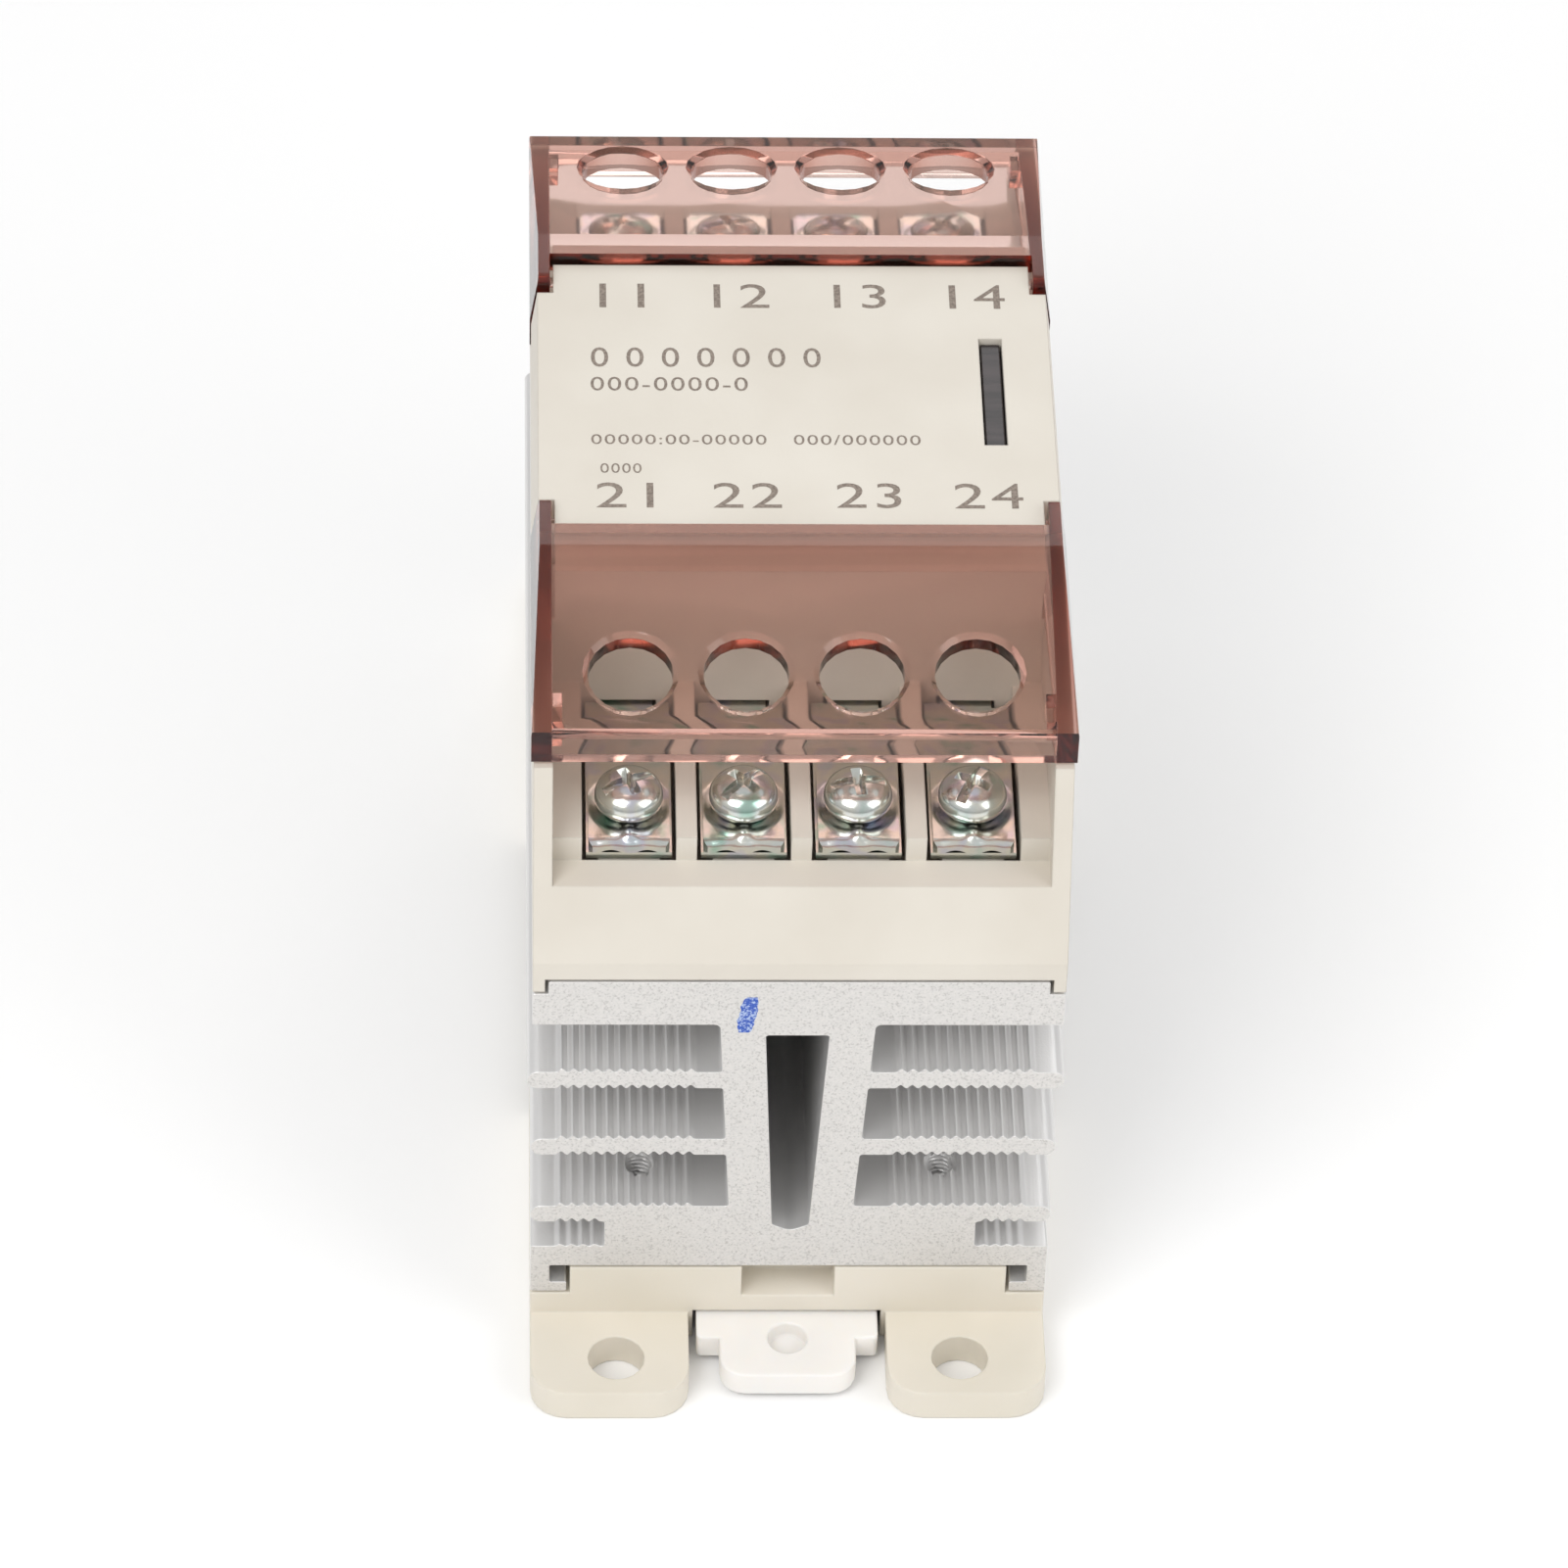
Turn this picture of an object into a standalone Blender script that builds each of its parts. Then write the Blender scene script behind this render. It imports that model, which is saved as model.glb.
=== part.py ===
"""Solid state relay on an extruded heat sink, modelled as its separate pieces.

Axes: +X across the relay, -Y towards the load terminals and the rail clip,
+Y towards the line terminals, +Z up, away from the mounting face. The origin
is the middle of the mounting face. Everything is in metres.
"""

import math

import bmesh
import bpy
from mathutils import Matrix, Vector

MM = 0.001

# Heat sink, an extrusion along Y
SINK_WIDTH = 45.0 * MM
SINK_LENGTH = 89.0 * MM
SINK_BOTTOM = 9.3 * MM
SINK_TOP = 44.9 * MM
SINK_PLATE_BOTTOM = 39.7 * MM
REBATE_WIDTH = 1.35 * MM
REBATE_DEPTH = 1.45 * MM
FIN_CENTRES = (32.85 * MM, 24.5 * MM, 15.95 * MM)
FIN_OVERHANGS = (0.42 * MM, 0.05 * MM, 0.05 * MM)
FIN_THICKNESS = 2.0 * MM
WEB_HALF_TOP = 6.6 * MM
WEB_HALF_BOTTOM = 5.35 * MM
FOOT_PLATE_THICKNESS = 2.5 * MM
LOWEST_GAP_REACH = 16.1 * MM
HOOK_DROP = 3.3 * MM
HOOK_LEG = 1.65 * MM
HOOK_TOE_REACH = 3.15 * MM
HOOK_TOE_THICKNESS = 1.15 * MM
TONGUE_SETBACK = 8.0 * MM
CORE_TOP = 38.4 * MM
CORE_BOTTOM = 14.6 * MM
CORE_HALF_TOP = 2.7 * MM
CORE_HALF_BOTTOM = 1.6 * MM
CORE_SAG = 0.85 * MM

# Mounting base and its feet
FOOT_REACH = 9.5 * MM
FOOT_THICKNESS = 3.2 * MM
FOOT_INNER_X = 8.65 * MM
FOOT_CORNER = 3.2 * MM
FOOT_HOLE_FROM_SIDE = 7.5 * MM
FOOT_HOLE_FROM_EDGE = 4.2 * MM
FOOT_HOLE_RADIUS = 2.45 * MM
NOTCH_HALF_WIDTH = 4.05 * MM
NOTCH_DEPTH = 3.2 * MM
NOTCH_BOTTOM = 5.4 * MM
BASE_SCREW_X = 13.1 * MM
BASE_SCREW_FROM_END = 4.9 * MM
BASE_SCREW_BITE = 2.4 * MM
THREAD_RADIUS = 1.5 * MM

# DIN rail seat under the base
RAIL_WIDTH = 35.0 * MM
RAIL_PLAY = 0.5 * MM
RAIL_SEAT_Z = 4.5 * MM
RAIL_FLANGE_GAP = 1.3 * MM
RAIL_FLANGE_RELIEF = 0.3 * MM
RAIL_LIP = 1.5 * MM

# Rail clip
CLIP_HALF_WIDTH = 7.95 * MM
CLIP_TOP = 3.1 * MM
CLIP_BOTTOM = 0.6 * MM
CLIP_BODY_REACH = 2.9 * MM
CLIP_TAB_HALF_WIDTH = 5.95 * MM
CLIP_TAB_REACH = 7.3 * MM
CLIP_CORNER = 2.24 * MM
CLIP_RIB = 1.2 * MM
CLIP_RIB_BOTTOM = 1.5 * MM
CLIP_RIB_TOP = 2.4 * MM
CLIP_NOSE_THICKNESS = 1.3 * MM
CLIP_TRAVEL = 4.0 * MM
DIMPLE_RADIUS = 1.7 * MM
DIMPLE_DEPTH = 1.5 * MM

# Housing
HOUSING_HALF_WIDTH = SINK_WIDTH / 2
CHEEK_HALF_WIDTH = HOUSING_HALF_WIDTH + 0.1 * MM
CHEEK_HALF_TOP = HOUSING_HALF_WIDTH - 0.55 * MM
LABEL_TOP = 71.2 * MM
DRAFT_HEIGHT = 3.7 * MM
END_STRAIGHT = 2.2 * MM
END_SLOPE = math.radians(19.9)
SHOULDER_DROP = 7.05 * MM
WALL_TOP = LABEL_TOP - SHOULDER_DROP
LEDGE_REAR_Y = SINK_LENGTH / 2 - 5.6 * MM
BAY_LENGTH = 18.3 * MM
BOSS_HALF_WIDTH = HOUSING_HALF_WIDTH - 1.8 * MM
BOSS_END_Y = LEDGE_REAR_Y - BAY_LENGTH
BOSS_STEP_Y = BOSS_END_Y - 3.75 * MM
BOSS_STEP_DROP = 1.75 * MM
CHEEK_END_Y = BOSS_STEP_Y - 3.65 * MM
LABEL_WALL = 2.0 * MM
BOSS_WALL = 1.8 * MM
BELLY_WALL = 1.9 * MM
BELLY_END_WALL = 3.2 * MM
SIDE_WALL = 1.6 * MM
DIVIDER_TOP = 56.5 * MM
LEDGE_Z = 53.9 * MM
BAY_WIDTH = 7.9 * MM
BAY_FLOOR = LEDGE_Z - 0.4 * MM
BAY_GUTTER = BAY_FLOOR - 3.0 * MM
PEDESTAL_HALF_WIDTH = 2.6 * MM
SCREW_HOLE_BOTTOM = BAY_FLOOR - 3.7 * MM
CAVITY_END_Y = BOSS_END_Y - 2.2 * MM
BELLY_TOP = 48.3 * MM

BOARD_Z = 60.0 * MM

# Terminals
TERMINAL_PITCH = 9.64 * MM
TERMINAL_COUNT = 4
SCREW_Y = LEDGE_REAR_Y - 5.1 * MM
PLATE_THICKNESS = 0.7 * MM
PLATE_HALF_WIDTH = BAY_WIDTH / 2 - 0.35 * MM
TONGUE_HALF_WIDTH = 2.2 * MM
TONGUE_END_Y = CAVITY_END_Y - 1.0 * MM
TONGUE_TOP = BOARD_Z - 1.8 * MM
CLAMP_HALF_WIDTH = PLATE_HALF_WIDTH - 0.2 * MM
CLAMP_THICKNESS = 1.0 * MM
CLAMP_FRONT = 4.7 * MM
CLAMP_REAR = 4.0 * MM
SCREW_SHANK_RADIUS = THREAD_RADIUS
SCREW_CLEARANCE = 0.35 * MM
SCREW_HEAD_RADIUS = 2.92 * MM
SCREW_HEAD_HEIGHT = 2.3 * MM
SCREW_TIP_ROOM = 0.5 * MM

# Terminal covers
COVER_RISE = 1.0 * MM
COVER_THICKNESS = 2.0 * MM
COVER_HALF_WIDTH = HOUSING_HALF_WIDTH + 0.22 * MM
COVER_INNER_X = BOSS_HALF_WIDTH + 0.3 * MM
COVER_NOSE_Y = CHEEK_END_Y + 0.65 * MM
COVER_EDGE_Y = BOSS_STEP_Y + 0.35 * MM
COVER_FOLD_Y = COVER_NOSE_Y + 5.95 * MM
COVER_FRONT_Y = LEDGE_REAR_Y - 0.93 * MM
COVER_SLOPE = math.radians(13.3)
COVER_LIP = 1.6 * MM
COVER_SIDE_BOTTOM = WALL_TOP + 0.35 * MM
COVER_HOLE_RADIUS = 3.6 * MM
COVER_HOLE_RIM = 4.06 * MM
COVER_HOLE_Y = SCREW_Y - 1.69 * MM
NOSE_RADIUS = 0.8 * MM
NUB_REACH = 0.85 * MM
NUB_LENGTH = 2.6 * MM
NUB_HEIGHT = 2.4 * MM
NUB_FROM_FRONT = 2.4 * MM
PIVOT_Y = COVER_NOSE_Y + 1.5 * MM
PIVOT_Z = LABEL_TOP - 0.75 * MM
PIVOT_PIN_RADIUS = 0.45 * MM
PIVOT_PIN_PLAY = 0.1 * MM
PIVOT_PIN_REACH = 1.1 * MM

# Indicator
WINDOW_X = BOSS_HALF_WIDTH - 3.7 * MM
WINDOW_WIDTH = 2.0 * MM
WINDOW_LENGTH = 13.6 * MM
WINDOW_Y = 0.6 * MM
WINDOW_RECESS = 0.5 * MM

# Electronics
PAD_THICKNESS = 0.4 * MM
MODULE_COUNT = 3
MODULE_PITCH = 12.2 * MM
MODULE_SIZE = (12.0 * MM, 18.0 * MM, 4.6 * MM)
MODULE_SCREW_Y = -5.5 * MM
LEAD_PITCH = 3.8 * MM
LEAD_WIDTH = 1.0 * MM
BOARD_THICKNESS = 1.6 * MM
BOARD_SIDE_PLAY = 0.7 * MM
BOARD_TO_TONGUE = 1.1 * MM
POST_RADIUS = 2.4 * MM
POST_X = 12.0 * MM
POST_Y = CAVITY_END_Y - 6.4 * MM
SMALL_SCREW_RADIUS = 1.0 * MM
SMALL_HEAD_RADIUS = 1.9 * MM
SMALL_HEAD_HEIGHT = 1.4 * MM
OPTO_SIZE = (6.4 * MM, 9.0 * MM, 3.5 * MM)
CAPACITOR_SIZE = (11.0 * MM, 5.0 * MM, 7.0 * MM)
CAPACITOR_Y = 2.0 * MM
LED_RADIUS = 1.0 * MM

GAP = 0.3 * MM
ROUND_STEPS = 20
FAR_OUT = 200.0 * MM

NEAR, FAR = -1, 1
END_NAMES = {NEAR: "load", FAR: "line"}


# --- materials -------------------------------------------------------------


def material(name, colour, roughness, metallic=0.0, alpha=1.0):
    """A Principled BSDF material in one plain finish."""
    made = bpy.data.materials.new(name)
    made.use_nodes = True
    shader = made.node_tree.nodes["Principled BSDF"]
    shader.inputs["Base Color"].default_value = (*colour, 1.0)
    shader.inputs["Roughness"].default_value = roughness
    shader.inputs["Metallic"].default_value = metallic
    shader.inputs["Alpha"].default_value = alpha
    return made


def make_materials():
    return {
        "sink": material("aluminium", (0.75, 0.74, 0.73), 0.45, 1.0),
        "case": material("beige_moulding", (0.76, 0.71, 0.63), 0.5),
        "clip": material("white_nylon", (0.90, 0.88, 0.86), 0.45),
        "cover": material("brown_clear_moulding", (0.42, 0.16, 0.12), 0.15, 0.0, 0.6),
        "zinc": material("zinc_plated_steel", (0.62, 0.63, 0.60), 0.3, 1.0),
        "board": material("circuit_board", (0.05, 0.22, 0.10), 0.4),
        "module": material("black_epoxy", (0.03, 0.03, 0.03), 0.5),
        "ceramic": material("white_ceramic", (0.85, 0.85, 0.82), 0.6),
        "film": material("blue_film", (0.08, 0.15, 0.45), 0.4),
        "lens": material("dark_lens", (0.09, 0.06, 0.06), 0.2),
        "led": material("red_led", (0.55, 0.04, 0.03), 0.2),
    }


# --- shape helpers ---------------------------------------------------------


def clear_scene():
    for obj in list(bpy.data.objects):
        bpy.data.objects.remove(obj, do_unlink=True)


def add_object(name, shape, finish):
    """An object from a bmesh, with its normals facing out."""
    bmesh.ops.recalc_face_normals(shape, faces=shape.faces)
    mesh = bpy.data.meshes.new(name)
    shape.to_mesh(mesh)
    shape.free()
    obj = bpy.data.objects.new(name, mesh)
    bpy.context.scene.collection.objects.link(obj)
    if finish is not None:
        mesh.materials.append(finish)
    return obj


def prism(name, outline, axis, low, high, finish=None):
    """A closed outline in the two other axes, carried along one axis from low to high."""
    along = "xyz".index(axis)
    shape = bmesh.new()
    corners = []
    for first, second in outline:
        point = [first, second]
        point.insert(along, low)
        corners.append(shape.verts.new(point))
    face = shape.faces.new(corners)
    grown = bmesh.ops.extrude_face_region(shape, geom=[face])
    moved = [item for item in grown["geom"] if isinstance(item, bmesh.types.BMVert)]
    step = Vector((0.0, 0.0, 0.0))
    step[along] = high - low
    bmesh.ops.translate(shape, verts=moved, vec=step)
    return add_object(name, shape, finish)


def block(name, low, high, finish=None):
    """A box between two corners."""
    outline = [(low[0], low[1]), (high[0], low[1]), (high[0], high[1]), (low[0], high[1])]
    return prism(name, outline, "z", low[2], high[2], finish)


def lathe(name, profile, centre, finish=None, tilt=0.0):
    """A profile of (radius, height) points turned about +Z, then tilted about +X and placed."""
    shape = bmesh.new()
    points = [shape.verts.new((radius, 0.0, height)) for radius, height in profile]
    edges = [shape.edges.new(pair) for pair in zip(points, points[1:])]
    bmesh.ops.spin(
        shape,
        geom=points + edges,
        axis=(0.0, 0.0, 1.0),
        cent=(0.0, 0.0, 0.0),
        angle=math.tau,
        steps=ROUND_STEPS,
        use_merge=True,
    )
    bmesh.ops.remove_doubles(shape, verts=shape.verts, dist=0.001 * MM)
    place = Matrix.Translation(centre) @ Matrix.Rotation(tilt, 4, "X")
    bmesh.ops.transform(shape, matrix=place, verts=shape.verts)
    return add_object(name, shape, finish)


def cylinder(name, centre, radius, length, finish=None, tilt=0.0):
    """A cylinder whose low end is at the centre given."""
    profile = [(0.0, 0.0), (radius, 0.0), (radius, length), (0.0, length)]
    return lathe(name, profile, centre, finish, tilt)


def rod_along_x(name, start, end, y, z, radius):
    outline = [
        (y + radius * math.cos(turn), z + radius * math.sin(turn))
        for turn in (math.tau * step / ROUND_STEPS for step in range(ROUND_STEPS))
    ]
    return prism(name, outline, "x", min(start, end), max(start, end))


def combine(target, helper, operation):
    """Cuts a helper from the target, joins it on, or keeps what both share."""
    helper.hide_render = True
    helper.display_type = "WIRE"
    modifier = target.modifiers.new(helper.name, "BOOLEAN")
    modifier.operation = operation
    modifier.solver = "EXACT"
    modifier.object = helper


def cut(target, helper):
    combine(target, helper, "DIFFERENCE")


def join(target, helper):
    combine(target, helper, "UNION")


def set_origin(obj, point):
    """Moves the object's origin to a point, with its shape left where it is."""
    obj.data.transform(Matrix.Translation(-Vector(point)))
    obj.location = point


def arc(centre, radius, start_degrees, end_degrees, steps=5):
    """Points round an arc, both ends included."""
    sweep = end_degrees - start_degrees
    turns = [start_degrees + sweep * step / steps for step in range(steps + 1)]
    return [
        (centre[0] + radius * math.cos(math.radians(turn)), centre[1] + radius * math.sin(math.radians(turn)))
        for turn in turns
    ]


def mirrored(half):
    """A half outline on the positive side, closed by its mirror image."""
    return half + [(-first, second) for first, second in reversed(half)]


def facing(end, outline):
    """An outline of (distance outward, height) turned to one end of the relay."""
    return [(end * outward, height) for outward, height in outline]


def open_above(outward, height):
    """All that is further out than one distance and above one height."""
    return [(outward, height), (FAR_OUT, height), (FAR_OUT, FAR_OUT), (outward, FAR_OUT)]


def terminal_x(index):
    """Centre of one terminal, the first at -X."""
    return (index - (TERMINAL_COUNT - 1) / 2) * TERMINAL_PITCH


def module_x(index):
    return (index - (MODULE_COUNT - 1) / 2) * MODULE_PITCH


def base_screw_places():
    reach = SINK_LENGTH / 2 - BASE_SCREW_FROM_END
    return [(x, y) for y in (-reach, reach) for x in (-BASE_SCREW_X, BASE_SCREW_X)]


# --- heat sink -------------------------------------------------------------


def web_half_width(height):
    """The central web tapers from under the plate down to the lowest fin."""
    share = (SINK_PLATE_BOTTOM - height) / (SINK_PLATE_BOTTOM - FIN_CENTRES[-1])
    return WEB_HALF_TOP + share * (WEB_HALF_BOTTOM - WEB_HALF_TOP)


def sink_half_outline():
    half = SINK_WIDTH / 2
    foot_plate_top = SINK_BOTTOM + FOOT_PLATE_THICKNESS
    outline = [
        (half - REBATE_WIDTH, SINK_TOP),
        (half - REBATE_WIDTH, SINK_TOP - REBATE_DEPTH),
        (half, SINK_TOP - REBATE_DEPTH),
        (half, SINK_PLATE_BOTTOM),
        (web_half_width(SINK_PLATE_BOTTOM), SINK_PLATE_BOTTOM),
    ]
    for centre, overhang in zip(FIN_CENTRES, FIN_OVERHANGS):
        radius = FIN_THICKNESS / 2
        tip = half + overhang
        outline.append((web_half_width(centre + radius), centre + radius))
        outline += arc((tip - radius, centre), radius, 90, -90, 6)
        is_lowest = centre == FIN_CENTRES[-1]
        root = LOWEST_GAP_REACH if is_lowest else web_half_width(centre - radius)
        outline.append((root, centre - radius))
    hook_bottom = SINK_BOTTOM - HOOK_DROP
    outline += [
        (LOWEST_GAP_REACH, foot_plate_top),
        (half, foot_plate_top),
        (half, hook_bottom),
        (half - HOOK_TOE_REACH, hook_bottom),
        (half - HOOK_TOE_REACH, hook_bottom + HOOK_TOE_THICKNESS),
        (half - HOOK_LEG, hook_bottom + HOOK_TOE_THICKNESS),
        (half - HOOK_LEG, SINK_BOTTOM),
    ]
    return outline


def make_heat_sink(finishes):
    half_length = SINK_LENGTH / 2
    sink = prism(
        "heat_sink", mirrored(sink_half_outline()), "y", -half_length, half_length, finishes["sink"]
    )
    core = [(CORE_HALF_TOP, CORE_TOP), (CORE_HALF_BOTTOM, CORE_BOTTOM), (0.0, CORE_BOTTOM - CORE_SAG)]
    core_outline = core + [(-CORE_HALF_BOTTOM, CORE_BOTTOM), (-CORE_HALF_TOP, CORE_TOP)]
    cut(sink, prism("cut_sink_core", core_outline, "y", -FAR_OUT, FAR_OUT))
    lowest_fin_top = FIN_CENTRES[-1] + FIN_THICKNESS
    for number, (x, y) in enumerate(base_screw_places(), 1):
        hole_start = SINK_BOTTOM - HOOK_TOE_THICKNESS
        hole = cylinder(
            f"cut_sink_thread_{number}", (x, y, hole_start), THREAD_RADIUS, lowest_fin_top - hole_start
        )
        cut(sink, hole)
    for number in range(MODULE_COUNT):
        bottom = SINK_PLATE_BOTTOM + GAP
        centre = (module_x(number), MODULE_SCREW_Y, bottom)
        cut(sink, cylinder(f"cut_module_thread_{number + 1}", centre, THREAD_RADIUS, SINK_TOP))


# --- base and rail clip ----------------------------------------------------


def foot_outline(end, side):
    """One foot seen from above: square at the block, round at its two free corners."""
    inner = FOOT_INNER_X
    outer = SINK_WIDTH / 2
    root = SINK_LENGTH / 2 - GAP
    tip = SINK_LENGTH / 2 + FOOT_REACH
    corner = FOOT_CORNER
    shape = [(inner, root)]
    shape += arc((inner + corner, tip - corner), corner, 180, 90)
    shape += arc((outer - corner, tip - corner), corner, 90, 0)
    shape.append((outer, root))
    return [(side * x, end * y) for x, y in shape]


def make_mounting_base(finishes):
    half = SINK_WIDTH / 2
    half_length = SINK_LENGTH / 2
    block_top = SINK_BOTTOM - HOOK_DROP - GAP
    toe_tip = half - HOOK_TOE_REACH
    toe_top = SINK_BOTTOM - HOOK_DROP + HOOK_TOE_THICKNESS
    section = mirrored(
        [
            (half, 0.0),
            (half, block_top),
            (toe_tip - GAP, block_top),
            (toe_tip - GAP, toe_top + GAP),
            (half - HOOK_LEG - GAP, toe_top + GAP),
            (half - HOOK_LEG - GAP, SINK_BOTTOM - GAP),
        ]
    )
    base = prism("mounting_base", section, "y", -half_length, half_length, finishes["case"])
    hole_y = half_length + FOOT_REACH - FOOT_HOLE_FROM_EDGE
    for end in (NEAR, FAR):
        y_low, y_high = sorted((end * (half_length - TONGUE_SETBACK), end * FAR_OUT))
        for side in (-1, 1):
            x_low, x_high = sorted((side * (toe_tip - GAP), side * FAR_OUT))
            setback = block(
                f"cut_tongue_{END_NAMES[end]}_{'left' if side < 0 else 'right'}",
                (x_low, y_low, block_top),
                (x_high, y_high, SINK_TOP),
            )
            cut(base, setback)
        for side in (-1, 1):
            tag = f"{END_NAMES[end]}_{'left' if side < 0 else 'right'}"
            foot = prism(f"join_foot_{tag}", foot_outline(end, side), "z", 0.0, FOOT_THICKNESS)
            join(base, foot)
            place = (side * (half - FOOT_HOLE_FROM_SIDE), end * hole_y, -MM)
            cut(base, cylinder(f"cut_foot_hole_{tag}", place, FOOT_HOLE_RADIUS, FOOT_THICKNESS + 2 * MM))
    rail_low = -RAIL_WIDTH / 2 - RAIL_PLAY / 2
    rail_high = -rail_low
    seat = block(
        "cut_rail_seat", (-FAR_OUT, rail_low, -MM), (FAR_OUT, rail_high - RAIL_LIP, RAIL_SEAT_Z)
    )
    cut(base, seat)
    flange = block(
        "cut_rail_flange",
        (-FAR_OUT, rail_high - RAIL_LIP, RAIL_SEAT_Z - RAIL_FLANGE_GAP),
        (FAR_OUT, rail_high, RAIL_SEAT_Z + RAIL_FLANGE_RELIEF),
    )
    cut(base, flange)
    channel = block(
        "cut_clip_channel",
        (-CLIP_HALF_WIDTH - GAP, -half_length - MM, -MM),
        (CLIP_HALF_WIDTH + GAP, rail_low + MM, CLIP_TOP + GAP),
    )
    cut(base, channel)
    rib_x = CLIP_HALF_WIDTH + CLIP_RIB + GAP
    grooves = block(
        "cut_clip_grooves",
        (-rib_x, -half_length + CLIP_RIB, CLIP_RIB_BOTTOM - GAP),
        (rib_x, rail_low + MM, CLIP_RIB_TOP + GAP),
    )
    cut(base, grooves)
    notch = block(
        "cut_front_notch",
        (-NOTCH_HALF_WIDTH, -half_length - MM, NOTCH_BOTTOM),
        (NOTCH_HALF_WIDTH, -half_length + NOTCH_DEPTH, SINK_BOTTOM),
    )
    cut(base, notch)
    for number, (x, y) in enumerate(base_screw_places(), 1):
        profile = [(0.0, -MM), (base_head_radius() + GAP, -MM), (base_head_radius() + GAP, GAP)]
        shank = THREAD_RADIUS + GAP / 2
        cone_top = 2 * GAP + base_head_radius() - shank
        profile += [(shank, cone_top), (shank, SINK_BOTTOM), (0.0, SINK_BOTTOM)]
        cut(base, lathe(f"cut_base_screw_{number}", profile, (x, y, 0.0)))


def base_head_radius():
    """A countersunk head is about twice its thread."""
    return 2 * THREAD_RADIUS


def make_base_screws(finishes):
    """Countersunk screws that rise through the base and bite into the sink's foot plate."""
    tip = SINK_BOTTOM + BASE_SCREW_BITE
    shank = THREAD_RADIUS - GAP
    head = base_head_radius()
    cone_top = 2 * GAP + head - shank
    profile = [(0.0, GAP), (head, GAP), (head, 2 * GAP), (shank, cone_top), (shank, tip), (0.0, tip)]
    for number, (x, y) in enumerate(base_screw_places(), 1):
        lathe(f"base_screw_{number}", profile, (x, y, 0.0), finishes["zinc"])


def clip_outline():
    """The slider seen from above: ribs inside the base, shoulders in front, a rounded pull tab."""
    front = SINK_LENGTH / 2
    rear = RAIL_WIDTH / 2 + RAIL_PLAY / 2 - RAIL_LIP
    tab = CLIP_TAB_HALF_WIDTH
    shoulder = front + CLIP_BODY_REACH
    tip = front + CLIP_TAB_REACH
    corner = CLIP_CORNER
    half = [(CLIP_HALF_WIDTH, rear), (CLIP_HALF_WIDTH, shoulder - GAP), (CLIP_HALF_WIDTH - GAP, shoulder)]
    half += [(tab, shoulder)]
    half += arc((tab - corner, tip - corner), corner, 0, 90)
    return [(x, -y) for x, y in mirrored(half)]


def make_rail_clip(finishes):
    clip = prism("rail_clip", clip_outline(), "z", CLIP_BOTTOM, CLIP_TOP, finishes["clip"])
    front = SINK_LENGTH / 2
    rail_edge = RAIL_WIDTH / 2 + RAIL_PLAY / 2
    rib_front = front - CLIP_RIB - GAP - CLIP_TRAVEL
    rib_x = CLIP_HALF_WIDTH + CLIP_RIB
    ribs = block(
        "join_clip_ribs",
        (-rib_x, -rib_front, CLIP_RIB_BOTTOM),
        (rib_x, -rail_edge - CLIP_RIB, CLIP_RIB_TOP),
    )
    join(clip, ribs)
    above_nose = block(
        "cut_clip_nose",
        (-FAR_OUT, -rail_edge - GAP, CLIP_BOTTOM + CLIP_NOSE_THICKNESS),
        (FAR_OUT, 0.0, FAR_OUT),
    )
    cut(clip, above_nose)
    dimple = (0.0, -front - CLIP_BODY_REACH, CLIP_TOP - DIMPLE_DEPTH)
    cut(clip, cylinder("cut_clip_dimple", dimple, DIMPLE_RADIUS, DIMPLE_DEPTH + MM))
    set_origin(clip, (0.0, -front, CLIP_BOTTOM))


# --- housing ---------------------------------------------------------------


def slope_y(height):
    """Distance out to the leaning end face of the housing at one height."""
    straight_top = SINK_TOP + END_STRAIGHT
    return SINK_LENGTH / 2 - (height - straight_top) * math.tan(END_SLOPE)


def housing_side_outline():
    half = [
        (SINK_LENGTH / 2, SINK_TOP + GAP),
        (SINK_LENGTH / 2, SINK_TOP + END_STRAIGHT),
        (slope_y(WALL_TOP), WALL_TOP),
        (CHEEK_END_Y, WALL_TOP),
        (CHEEK_END_Y, LABEL_TOP),
    ]
    return mirrored(half)


def housing_front_outline():
    """The housing from the end: upright walls, then cheeks that lean in to the label."""
    return mirrored(
        [
            (HOUSING_HALF_WIDTH, 0.0),
            (HOUSING_HALF_WIDTH, WALL_TOP),
            (CHEEK_HALF_WIDTH, WALL_TOP + GAP),
            (CHEEK_HALF_WIDTH, LABEL_TOP - DRAFT_HEIGHT),
            (CHEEK_HALF_TOP, LABEL_TOP + MM),
        ]
    )


def boss_outline():
    return mirrored(
        [
            (BOSS_END_Y, BAY_GUTTER - MM),
            (BOSS_END_Y, LABEL_TOP - BOSS_STEP_DROP),
            (BOSS_STEP_Y, LABEL_TOP - BOSS_STEP_DROP),
            (BOSS_STEP_Y, LABEL_TOP),
        ]
    )


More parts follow.
